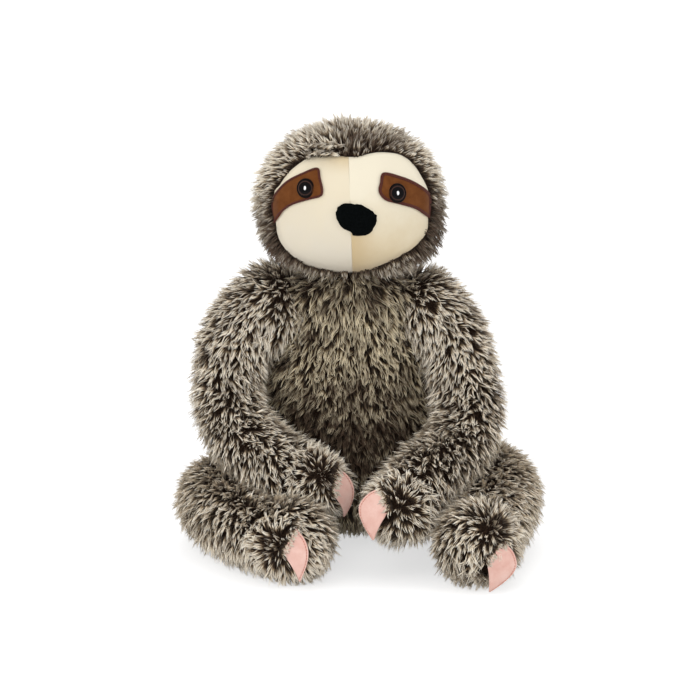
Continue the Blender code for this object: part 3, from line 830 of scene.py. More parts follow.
@dataclass
class Torso:
    """The pear-shaped body: its rings, its stuffed cover and its coat."""

    width: float = 158 * MM
    depth: float = 128 * MM
    height: float = 232 * MM
    rings: tuple[tuple[float, float, float, float], ...] = (
        (0.000, 0.02, 0.02, 0.28), (0.002, 0.30, 0.24, 0.28), (0.010, 0.50, 0.40, 0.28),
        (0.036, 0.74, 0.62, 0.20),
        (0.105, 0.92, 0.84, 0.145), (0.215, 0.99, 0.95, 0.115), (0.345, 1.00, 1.00, 0.09),
        (0.475, 0.95, 0.95, 0.08), (0.600, 0.88, 0.88, 0.055), (0.710, 0.80, 0.80, 0.03),
        (0.810, 0.72, 0.71, -0.02), (0.888, 0.68, 0.61, -0.07), (0.948, 0.58, 0.47, -0.12),
        (0.987, 0.36, 0.25, -0.15), (1.000, 0.02, 0.02, -0.156),
    )
    # The body's pile is drawn darker than the limbs', a painted shade on the belly under the head and arms
    coat: Coat = field(default_factory=lambda: Coat(seed=11, tone=0.72, wander=math.radians(27)))
    # Darker places in the pile: where it parts and shows its dark roots, and painted shade low on the belly
    # and under the chin
    partings_and_shade: tuple[tuple[float, float, float, float], ...] = (
        (345, 440, 46, 0.66), (300, 408, 24, 0.42), (398, 428, 30, 0.42), (318, 330, 11, 0.34),
        (285, 345, 14, 0.34),
        (352, 378, 12, 0.36), (398, 385, 15, 0.34), (430, 330, 12, 0.32), (368, 340, 9, 0.20),
        (300, 272, 11, 0.55),
        (322, 281, 11, 0.55), (347, 285, 12, 0.55), (372, 283, 11, 0.55), (396, 275, 11, 0.55),
        (415, 266, 11, 0.55),
    )

    def shell(self) -> Shell:
        """Return the cover's form.

        Returns:
            The form, in its place.
        """
        rows = curve_through(np.array(self.rings), 4)
        angles = np.linspace(0, 2 * math.pi, 72, endpoint=False)
        low, high = PILE_DEPTH * 0.4, self.height - PILE_DEPTH
        grid = []
        for share, wide, deep, set_back in rows:
            centre = BACK * self.depth * set_back + UP * (low + (high - low) * share)
            across = RIGHT * max(wide, 0.01) * (self.width / 2 - PILE_DEPTH)
            along = BACK * max(deep, 0.01) * (self.depth / 2 - PILE_DEPTH)
            grid.append(centre + np.cos(angles)[:, None] * across + np.sin(angles)[:, None] * along)
        return Shell(np.array(grid) + SEAT)

    def build(self, ground: bpy.types.Material, pile: bpy.types.Material) -> None:
        """Make the cover and its coat.

        Args:
            ground: The backing's material.
            pile: The coat's material.
        """
        shell = self.shell()
        cover = shell.build("body_cover", 1.2 * MM, 3)
        dress(cover, "torso", [ground], ["body_skin", "body_stuffing"])
        rng = np.random.default_rng(self.coat.seed)
        roots, out, _ = shell.scatter(self.coat.spacing, rng)
        stray = waves(roots, 26 * MM, 5)[:, None]
        way = -UP + RIGHT * 0.5 * stray + unit(out * (1, 1, 0)) * 0.1
        dark = front_spots(roots, out, self.partings_and_shade)
        tone = self.coat.tone + 0.16 * waves(roots, 17 * MM, 6) - 0.45 * clumps(roots, 19 * MM, 7) - dark
        scale = np.clip(1.0 - 0.35 * dark, 0.6, 1.0)
        scale = np.where(roots[:, 2] < 6 * MM, 0.5, scale)
        scale *= 1 + 0.25 * smooth((roots[:, 2] - 185 * MM) / (25 * MM))
        # The roots run from the seat up
        names = ("body_fur_lower", "body_fur_upper")
        self.coat.grow(names, "torso", pile, roots, out, way, scale, tone)


@dataclass
class Neck:
    """The soft neck under the chin, which the two covers are sewn round."""

    centre: tuple[float, float, float] = (0.0, -20.0 * MM, 218.4 * MM)
    radius: float = 22 * MM
    half_height: float = 15 * MM
    # The neck's pile is drawn dark, a painted shade under the chin
    coat: Coat = field(default_factory=lambda: Coat(length=15 * MM, seed=21, tone=0.42))

    def build(self, ground: bpy.types.Material, pile: bpy.types.Material) -> None:
        """Make the neck's cover and its coat.

        Args:
            ground: The backing's material.
            pile: The coat's material.
        """
        angles = np.linspace(0, 2 * math.pi, 40, endpoint=False)
        grid = []
        for turn in np.linspace(-math.pi / 2 + 0.02, math.pi / 2 - 0.02, 17):
            wide = self.radius * math.cos(turn) ** 0.6
            centre = np.array(self.centre) + UP * self.half_height * math.sin(turn)
            circle = np.cos(angles)[:, None] * RIGHT * wide + np.sin(angles)[:, None] * BACK * wide
            grid.append(centre + circle)
        shell = Shell(np.array(grid) + SEAT)
        cover = shell.build("neck_cover", 0.4 * MM, 4)
        dress(cover, "neck", [ground], ["neck_stuffing"])
        rng = np.random.default_rng(self.coat.seed)
        roots, out, _ = shell.scatter(self.coat.spacing, rng)
        keep = np.abs(out @ UP) < 0.75
        roots, out = roots[keep], out[keep]
        tone = np.full(len(roots), self.coat.tone)
        way = np.tile(-UP, (len(roots), 1))
        self.coat.grow(("neck_fur",), "neck", pile, roots, out, way, np.ones(len(roots)), tone)


# Head, face, patches, eyes and nose


@dataclass
class HeadForm:
    """The head's round crown over full jowls, and the plane that its face is drawn in."""

    width: float = 150 * MM
    depth: float = 124 * MM
    height: float = 126 * MM
    centre: tuple[float, float, float] = (0.0, -20.0 * MM, 284.0 * MM)
    crown_power: float = 2.0
    jowl_power: float = 4.0
    face_inset: float = 4.0 * MM
    seam: tuple[tuple[float, float], tuple[float, float]] = ((352.5, 272.0), (348.5, 153.0))
    face_edge: tuple[tuple[float, float], ...] = (
        (272, 193), (274, 228), (284, 250), (303, 263), (328, 270), (351, 272), (372, 269), (394, 260),
        (416, 247), (428, 231), (431, 215), (431, 193), (422, 172), (413, 160), (400, 152), (383, 150),
        (369, 152), (357, 155), (343, 155), (313, 154), (299, 160), (288, 169), (277, 184),
    )

    @property
    def middle(self) -> Array:
        """Return the head's centre in the frame."""
        return np.array(self.centre) + SEAT

    def sizes(self, inset: float) -> Array:
        """Return the half sizes, drawn in by an inset."""
        return np.array((self.width, self.depth, self.height)) / 2 - inset

    def plane(self, pixels: Sequence[tuple[float, float]]) -> Array:
        """Return pixels of the photograph as places in the plane of the face.

        Args:
            pixels: Columns and rows in the 700 x 700 photograph.

        Returns:
            Rows of two distances, from the head's middle.
        """
        rise = np.array(self.centre) @ FACE_UP
        # The face stands some 90 mm nearer to the camera, 6 m off, than the torso's axis, so it looks larger
        nearer = 0.985
        middle = np.array((PHOTO_AXIS, 350.0))
        shown = middle + (np.array(pixels, dtype=float) - middle) * nearer
        return np.array([(x, v - rise) for x, v in (from_photo(*pixel) for pixel in shown)])

    def rings(self, inset: float, rows: int, spokes: int) -> Array:
        """Return the head's form, drawn in by an inset, as rings from the chin to the crown.

        Args:
            inset: How far the form is drawn in.
            rows: How many rings there are.
            spokes: How many points each ring has.

        Returns:
            Rings by spokes by 3.
        """
        sizes = self.sizes(inset)
        heights = np.sin(np.linspace(-math.pi / 2 + 0.02, math.pi / 2 - 0.02, rows))
        power = np.where(heights < 0, self.jowl_power, self.crown_power)
        share = np.sqrt(1 - np.abs(heights) ** power)[:, None, None]
        angles = np.linspace(0, 2 * math.pi, spokes, endpoint=False)[:, None]
        circle = np.cos(angles) * RIGHT * sizes[0] + np.sin(angles) * BACK * sizes[1]
        return self.middle + heights[:, None, None] * UP * sizes[2] + share * circle

    def on_face(self, places: Array, lift: Array | float) -> tuple[Array, Array]:
        """Find places of the face's plane on the face itself.

        Args:
            places: Rows of two distances in the plane of the face.
            lift: How far above the face's cloth each point lies.

        Returns:
            Points and outward directions.
        """
        sizes = self.sizes(self.face_inset)
        start = places[:, :1] * RIGHT + places[:, 1:] * FACE_UP
        distance = np.full(len(places), self.width)
        for _ in range(16):
            point = start + distance[:, None] * FACE_OUT
            scaled = point / sizes
            height = np.abs(scaled[:, 2])
            power = np.where(scaled[:, 2] < 0, self.jowl_power, self.crown_power)
            level = scaled[:, 0] ** 2 + scaled[:, 1] ** 2 + height ** power - 1
            growth = scaled * 2 / sizes
            growth[:, 2] = np.sign(scaled[:, 2]) * power * height ** (power - 1) / sizes[2]
            distance -= level / np.maximum(growth @ FACE_OUT, 4.0)
        out = unit(growth)
        # Points rise straight out of the face's plane, so that each still shows where the photograph has it
        distance += np.broadcast_to(np.asarray(lift), len(places)) / np.maximum(out @ FACE_OUT, 0.4)
        return start + distance[:, None] * FACE_OUT + self.middle, out

    def seam_at(self, height: Array) -> Array:
        """Return the seam's distance right of the axis at heights in the plane of the face."""
        low, high = self.plane(self.seam)
        return low[0] + (high[0] - low[0]) * (height - low[1]) / (high[1] - low[1])

    def edge_share(self, places: Array) -> Array:
        """Return how far out places lie: 0 at the middle of the face and 1 on its edge.

        Args:
            places: Rows of two distances in the plane of the face.

        Returns:
            One share to a place.
        """
        edge = curve_through(self.plane(self.face_edge), 6, closed=True)
        middle = edge.mean(axis=0)
        offset = edge - middle
        angle = np.arctan2(offset[:, 1], offset[:, 0])
        order = np.argsort(angle)
        radius = np.linalg.norm(offset, axis=1)[order]
        here = places - middle
        reach = np.interp(np.arctan2(here[:, 1], here[:, 0]), angle[order], radius, period=2 * math.pi)
        return np.linalg.norm(here, axis=1) / reach

    def relief(self, places: Array) -> Array:
        """Return how far the stuffed face rises above its plain form: cheeks, seam and tucked-in edge.

        Args:
            places: Rows of two distances in the plane of the face.

        Returns:
            One height to a place.
        """
        away = places[:, 0] - self.seam_at(places[:, 1])
        share = self.edge_share(places)
        cheek = 1.4 * MM * np.exp(-((np.abs(away) - 22 * MM) / (20 * MM)) ** 2
                                  - ((places[:, 1] + 24 * MM) / (20 * MM)) ** 2)
        seam = 0.05 * MM * np.exp(-(away / (0.8 * MM)) ** 2) + 0.35 * MM * np.exp(-(away / (4 * MM)) ** 2)
        edge = 4.2 * MM * smooth((share - 0.92) / 0.11)
        grid = np.column_stack((places, np.zeros(len(places))))
        return cheek - seam - edge + 0.35 * MM * waves(grid, 24 * MM, 8)


@dataclass
class Head:
    """The plush hood with its filling."""

    form: HeadForm
    coat: Coat = field(
        default_factory=lambda: Coat(
            length=13.5 * MM, spacing=2.95 * MM, seed=31, tone=0.98, wander=math.radians(22), droop=0.10
        )
    )
    forelock: Coat = field(
        default_factory=lambda: Coat(
            length=14 * MM, seed=37, lean=math.radians(66), strands=10, wander=math.radians(15), underwool=0
        )
    )
    # Darker places in the pile: where it parts and shows its dark roots, and painted shade along the top of
    # the face and under the chin
    partings_and_shade: tuple[tuple[float, float, float, float], ...] = (
        (350, 148, 13, 0.75), (370, 147, 13, 0.70), (391, 148, 12, 0.60), (320, 140, 8, 0.30),
        (296, 150, 8, 0.20),
        (338, 136, 8, 0.35), (438, 200, 14, 0.45), (434, 228, 14, 0.55), (268, 215, 12, 0.30),
        (276, 244, 13, 0.45),
        (281, 262, 12, 0.50), (432, 250, 12, 0.50),
        (300, 269, 12, 0.60), (322, 277, 12, 0.60), (347, 281, 12, 0.60), (372, 280, 12, 0.60),
        (396, 272, 12, 0.60),
        (416, 258, 12, 0.55),
    )

    def shell(self) -> Shell:
        """Return the hood's form."""
        return Shell(self.form.rings(PILE_DEPTH, 44, 80))

    def in_plane(self, points: Array) -> Array:
        """Return points of the head as places in the plane of the face."""
        local = points - self.form.middle
        return np.column_stack((local @ RIGHT, local @ FACE_UP))

    def build(self, ground: bpy.types.Material, pile: bpy.types.Material) -> None:
        """Make the hood's cover, its coat and the forelock.

        Args:
            ground: The backing's material.
            pile: The coat's material.
        """
        shell = self.shell()
        cover = shell.build("head_cover", 0.5 * MM, 9)
        dress(cover, "head", [ground], ["head_skin", "head_stuffing"])
        rng = np.random.default_rng(self.coat.seed)
        roots, out, _ = shell.scatter(self.coat.spacing, rng)
        places = self.in_plane(roots)
        front = out @ FACE_OUT > 0
        share = self.form.edge_share(places)
        keep = ~(front & (share < 0.972 + 0.02 * waves(roots, 9 * MM, 14)))
        roots, out, places, share = roots[keep], out[keep], places[keep], share[keep]
        face = self.form.plane([(351, 208)])[0]
        from_face = RIGHT * (places[:, :1] - face[0]) + FACE_UP * (places[:, 1:] - face[1])
        behind = smooth(-(out @ FACE_OUT) * 1.2 + 0.3)[:, None]
        way = unit(from_face) * (1 - behind) + (-UP + BACK * 0.2) * behind - UP * 0.45
        dark = front_spots(roots, out, self.partings_and_shade)
        # Painted shade: next to the face's edge the pile is drawn darker, over the sunken cloth; the short
        # strands there also show their dark roots
        rim = np.where(out @ FACE_OUT > 0, smooth((share - 0.97) / 0.12), 1.0)
        tone = self.coat.tone + 0.14 * waves(roots, 15 * MM, 10) - dark - 0.25 * (1 - rim)
        tone -= 0.20 * clumps(roots, 19 * MM, 13)
        # Painted shade: the pile is drawn darker low on the head, and darker still low on its sides, under
        # the jowls
        low = smooth((self.form.middle[2] + 20 * MM - roots[:, 2]) / (35 * MM))
        tone -= 0.13 * low + 0.28 * low * smooth((np.abs(places[:, 0]) - 36 * MM) / (24 * MM))
        jowl = smooth((self.form.middle[2] - roots[:, 2]) / (40 * MM)) * smooth(1.2 - np.abs(out @ UP))
        scale = (0.55 + 0.45 * rim) * (1 + jowl * rim * np.where(places[:, 0] > 0, 0.22, -0.22))
        scale *= 1 - 0.25 * np.clip(dark, 0, 1)
        self.coat.grow(("head_fur",), "head", pile, roots, out, way, scale, tone, 0.6 * (1 - rim))
        self.build_forelock(pile)

    def build_forelock(self, pile: bpy.types.Material) -> None:
        """Make the pale tufts that fall over the top of the face.

        Args:
            pile: The coat's material.
        """
        rng = np.random.default_rng(self.forelock.seed)
        count = 38
        pixels = np.column_stack((rng.uniform(303, 334, count), rng.uniform(144, 157, count)))
        places = self.form.plane([tuple(pixel) for pixel in pixels])
        roots, out = self.form.on_face(places, rng.uniform(1.5, 4.5, count) * MM)
        way = np.tile(RIGHT * 1.0 - FACE_UP * 0.48, (count, 1)) + rng.normal(0, 0.16, (count, 3))
        tone = rng.uniform(0.45, 1.0, count)
        scale = rng.uniform(0.65, 1.0, count)
        self.forelock.grow(("forelock_fur",), "head", pile, roots, out, way, scale, tone)


@dataclass
class Face:
    """The two panels of short cream pile, sewn together down the middle."""

    form: HeadForm
    rings: int = 44
    spokes: int = 96

    def build_half(self, side: Side, cloth: bpy.types.Material) -> None:
        """Make the panel on one side of the seam.

        Args:
            side: The toy's side that it is on.
            cloth: The panel's material.
        """
        form = self.form
        edge = curve_through(form.plane(form.face_edge), 8, closed=True)
        middle_y = edge[:, 1].mean()
        offset = np.column_stack((edge[:, 0] - form.seam_at(edge[:, 1]), edge[:, 1] - middle_y))
        angle = np.arctan2(offset[:, 1], offset[:, 0] * side.sign)
        order = np.argsort(angle)
        angles = np.linspace(-math.pi / 2, math.pi / 2, self.spokes)
        radius = np.interp(angles, angle[order], np.linalg.norm(offset, axis=1)[order])
        shares = np.linspace(0.002, 1.0, self.rings) ** 0.9
        across = np.outer(shares, radius * np.cos(angles)) * side.sign
        height = np.outer(shares, radius * np.sin(angles)) + middle_y
        sideways = across + form.seam_at(height)
        places = np.column_stack((sideways.ravel(), height.ravel()))
        points, _ = form.on_face(places, form.relief(places))
        grid = points.reshape(self.rings, self.spokes, 3)
        piece = grid_mesh("face_cloth_" + side.value, grid, False, False)
        if piece.data.polygons[8 * (self.spokes - 1) + 40].normal.dot(Vector(FACE_OUT)) < 0:
            piece.data.flip_normals()
        cloth_depth = piece.modifiers.new("cloth", "SOLIDIFY")
        cloth_depth.thickness = 1.2 * MM
        cloth_depth.offset = -1
        dress(piece, "head", [cloth], ["face_panel_" + side.value])


@dataclass
class EyePatch:
    """One suede patch round an eye, with its satin stitched border."""

    form: HeadForm
    side: Side
    outline: tuple[tuple[float, float], ...]
    border: float
    thickness: float = 1.0 * MM
    stitch: float = 0.9 * MM  # from one thread of the border to the next that shows

    def edge(self) -> Array:
        """Return the outline in the plane of the face."""
        return curve_through(self.form.plane(self.outline), 10, closed=True)

    def build(self, suede: bpy.types.Material, thread: bpy.types.Material) -> None:
        """Make the patch and its border.

        Args:
            suede: The suede's material.
            thread: The thread's material.
        """
        form = self.form
        edge = self.edge()
        middle = edge.mean(axis=0)
        shares = np.linspace(0.01, 1.0, 18)
        places = middle + shares[:, None, None] * (edge - middle)[None]
        flat = places.reshape(-1, 2)
        lift = self.thickness * (1 - smooth((np.repeat(shares, len(edge)) - 0.9) / 0.14)) + 0.25 * MM
        points, _ = form.on_face(flat, form.relief(flat) + lift)
        grid = points.reshape(len(shares), len(edge), 3)
        patch = grid_mesh("eye_patch_suede_" + self.side.value, grid, True, True)
        self.turn_out(patch)
        dress(patch, "head", [suede], ["eye_patch_" + self.side.value])
        self.build_border(edge, thread)

    def turn_out(self, piece: bpy.types.Object) -> None:
        """Turn a surface's faces toward the front.

        Args:
            piece: The piece.
        """
        normals = [polygon.normal.dot(Vector(FACE_OUT)) for polygon in piece.data.polygons[:200]]
        if sum(normals) < 0:
            piece.data.flip_normals()

    def build_border(self, edge: Array, thread: bpy.types.Material) -> None:
        """Make the border: threads laid side by side over the patch's edge.

        Args:
            edge: The patch's outline in the plane of the face.
            thread: The thread's material.
        """
        form = self.form
        length = np.linalg.norm(np.roll(edge, -1, axis=0) - edge, axis=1)
        total = length.sum()
        count = int(total / self.stitch) * 4
        walk = np.concatenate(([0], np.cumsum(length)))
        closed = np.vstack((edge, edge[:1]))
        at = np.linspace(0, total, count, endpoint=False)
        path = np.column_stack([np.interp(at, walk, closed[:, axis]) for axis in range(2)])
        for _ in range(3):
            path = (np.roll(path, 1, axis=0) + path * 2 + np.roll(path, -1, axis=0)) / 4
        heading = unit(np.roll(path, -1, axis=0) - np.roll(path, 1, axis=0))
        inward = np.column_stack((-heading[:, 1], heading[:, 0]))
        if np.einsum("ij,ij->", inward, path.mean(axis=0) - path) < 0:
            inward = -inward
        bead = 1 + 0.16 * np.sin(np.arange(count) * (2 * math.pi / 4))
        rows = []
        for turn in np.linspace(0, 2 * math.pi, 8, endpoint=False):
            shift = math.cos(turn) * self.border / 2
            place = path + inward * (self.border * 0.42 + shift * bead[:, None])
            lift = 1.15 * MM + 0.5 * MM * math.sin(turn) * bead
            rows.append(form.on_face(place, form.relief(place) + lift)[0])
        grid = np.array(rows).transpose(1, 0, 2)
        grid = np.vstack((grid, grid[:1]))
        piece = grid_mesh("eye_patch_border_" + self.side.value, grid, True, False)
        face_outward(piece)
        dress(piece, "head", [thread])


@dataclass(frozen=True)
class EyePlastic:
    """Polished plastic printed from behind with a black rim, a brown-grey ring and a black pupil, and a white
    glint on the pupil that is a painted highlight.
    """

    name: str = "eye_plastic_print_and_painted_glint"
    black: str = "#060405"
    rim: str = "#120c0b"
    ring: str = "#3e2922"
    # The white of the glint, a painted highlight
    white: str = "#fbfbfb"
    pupil_radius: float = 4.9 * MM
    ring_radius: float = 5.7 * MM
    outer: float = 8.2 * MM
    painted_glint_width: float = 0.9 * MM  # half of it; the painted highlight is an upright oval
    painted_glint_height: float = 1.65 * MM  # half of it

    def build(self) -> bpy.types.Material:
        """Return the material; the eye's own axes are across, up and out of its dome.

        Returns:
            The material.
        """
        made, tree, shader = new_material(self.name)
        place = add_node(tree, "ShaderNodeTexCoord", {})
        flat = add_node(
            tree, "ShaderNodeVectorMath", {0: place.outputs["Object"], 1: (1, 1, 0)}, operation="MULTIPLY"
        )
        radius = add_node(tree, "ShaderNodeVectorMath", {0: flat.outputs[0]}, operation="LENGTH")
        share = add_node(
            tree, "ShaderNodeMapRange", {0: radius.outputs["Value"], 1: 0.0, 2: self.outer, 3: 0.0, 4: 1.0}
        )
        pupil, ring = self.pupil_radius / self.outer, self.ring_radius / self.outer
        colour = add_node(
            tree, "ShaderNodeValToRGB", {0: share.outputs[0]},
            ramp=[
                (0.0, self.black), (pupil - 0.02, self.black), (pupil + 0.03, self.ring),
                (ring - 0.03, self.ring), (ring + 0.03, self.rim), (1.0, self.rim),
            ],
        )
        # Painted highlight: a white upright oval in the middle of the pupil
        oval = add_node(
            tree, "ShaderNodeVectorMath",
            {0: flat.outputs[0], 1: (1 / self.painted_glint_width, 1 / self.painted_glint_height, 0)}, operation="MULTIPLY",
        )
        reach = add_node(tree, "ShaderNodeVectorMath", {0: oval.outputs[0]}, operation="LENGTH")
        glint = add_node(
            tree, "ShaderNodeMapRange", {0: reach.outputs["Value"], 1: 0.85, 2: 1.15, 3: 1.0, 4: 0.0}
        )
        mixed = add_node(
            tree, "ShaderNodeMix", {0: glint.outputs[0], 6: colour.outputs[0], 7: linear(self.white)},
            data_type="RGBA",
        )
        tree.links.new(mixed.outputs[2], shader.inputs["Base Color"])
        shader.inputs["Roughness"].default_value = 0.16
        shader.inputs["Specular IOR Level"].default_value = 0.10
        return made


@dataclass
class Eye:
    """One plastic eye: a rolled rim round a polished dome."""

    form: HeadForm
    side: Side
    pixel: tuple[float, float]
    radius: float = 7.9 * MM
    squeeze: float = 0.90  # how wide the eye is for its height
    lip: float = 1.1 * MM
    dome: float = 3.9 * MM
    base: float = 1.6 * MM

    def profile(self) -> list[tuple[float, float]]:
        """Return radius and height from the back of the rim to the top of the dome.

        Returns:
            Rows of radius and height.
        """
        rows = [(self.radius - 1.0 * MM, -0.8 * MM), (self.radius - 0.2 * MM, 0.0)]
        for turn in np.linspace(0, math.pi * 0.8, 7):
            rows.append((
                self.radius - self.lip / 2 + self.lip / 2 * math.cos(turn),
                0.5 * MM + 1.0 * MM * math.sin(turn),
            ))
        inner = self.radius - self.lip
        for share in np.linspace(1.0, 0.02, 26):
            height = 0.9 * MM + (self.dome - 0.9 * MM) * math.sqrt(max(1 - share * share, 0)) ** 0.9
            rows.append((inner * share, height))
        return rows

    def build(self, finish: bpy.types.Material) -> None:
        """Make the eye where it stands on the patch.

        Args:
            finish: The eye's material.
        """
        form = self.form
        place = form.plane([self.pixel])
        point, out = form.on_face(place, form.relief(place) + self.base)
        axis = unit(out[0] * 0.35 + FACE_OUT * 0.65)
        side_way = unit(np.cross(UP, axis))
        up_way = np.cross(axis, side_way)
        angles = np.linspace(0, 2 * math.pi, 56, endpoint=False)
        circle = np.column_stack((np.cos(angles) * self.squeeze, np.sin(angles), np.zeros(len(angles))))
        grid = np.array([circle * radius + np.array((0, 0, height)) for radius, height in self.profile()])
        piece = grid_mesh("eye_plastic_" + self.side.value, grid, True, True)
        face_outward(piece)
        stand = Matrix.Identity(4)
        for column, way in enumerate((side_way, up_way, axis, point[0])):
            stand.col[column][:3] = way
        piece.matrix_world = stand
        dress(piece, "head", [finish], ["eye_" + self.side.value])


@dataclass
class Nose:
    """The low black nose pad across the seam, with its slightly ragged edge."""

    form: HeadForm
    height: float = 3.6 * MM
    raggedness: float = 0.020  # of the edge, as a share of the distance from the middle
    outline: tuple[tuple[float, float], ...] = (
        (335.6, 213), (338.3, 207), (345, 203.5), (355, 204), (363.5, 205.5), (371, 210.5), (376.5, 215.5),
        (377, 220.5), (374.4, 228), (369.2, 233.5), (361.5, 235.8), (353.5, 235.5), (350.5, 232),
        (343.3, 228.3),
        (337.5, 221.7),
    )

    def build(self, flock: bpy.types.Material) -> None:
        """Make the pad.

        Args:
            flock: The pad's material.
        """
        form = self.form
        edge = curve_through(form.plane(self.outline), 12, closed=True)
        middle = edge.mean(axis=0)
        rng = np.random.default_rng(41)
        kernel = (0.1, 0.25, 0.4, 0.5, 0.4, 0.25, 0.1)
        drift = rng.normal(size=len(edge) + len(kernel) - 1)
        ragged = 1 + self.raggedness * np.convolve(drift, kernel, "valid")
        edge = middle + (edge - middle) * ragged[:, None]
        shares = np.concatenate((np.linspace(0.01, 0.9, 18), np.linspace(0.93, 1.0, 5)))
        places = (middle + shares[:, None, None] * (edge - middle)[None]).reshape(-1, 2)
        rise = np.repeat(np.maximum(1 - shares ** 5, 0) ** 0.55, len(edge)) * self.height
        flat = np.column_stack((places, np.zeros(len(places))))
        lift = 0.2 * MM + rise + 0.12 * MM * waves(flat, 2.4 * MM, 12) * (rise > 0)
        points, _ = form.on_face(places, form.relief(places) + lift)
        grid = points.reshape(len(shares), len(edge), 3)
        piece = grid_mesh("nose_flock", grid, True, True)
        if sum(p.normal.dot(Vector(FACE_OUT)) for p in piece.data.polygons[:300]) < 0:
            piece.data.flip_normals()
        dress(piece, "head", [flock], ["nose_pad"])


# Claws


# Sections of a claw from root to tip: along and across for its inner edge, then for its convex edge
FULL_CRESCENT = (
    (0.180, -0.205, -0.280, 0.190), (0.226, -0.205, -0.226, 0.205), (0.300, -0.190, -0.070, 0.400),
    (0.400, -0.165, 0.110, 0.520), (0.510, -0.125, 0.300, 0.570), (0.630, -0.090, 0.490, 0.510),
    (0.750, -0.055, 0.680, 0.365), (0.870, -0.025, 0.860, 0.180), (0.985, -0.006, 0.995, 0.030),
)
SLIM_CRESCENT = (
    (0.180, -0.205, -0.280, 0.190), (0.226, -0.205, -0.226, 0.205), (0.310, -0.190, -0.050, 0.310),
    (0.410, -0.165, 0.140, 0.360), (0.525, -0.120, 0.330, 0.360), (0.645, -0.080, 0.525, 0.305),
    (0.764, -0.043, 0.716, 0.205), (0.883, -0.017, 0.883, 0.095), (0.985, -0.006, 0.995, 0.030),
)


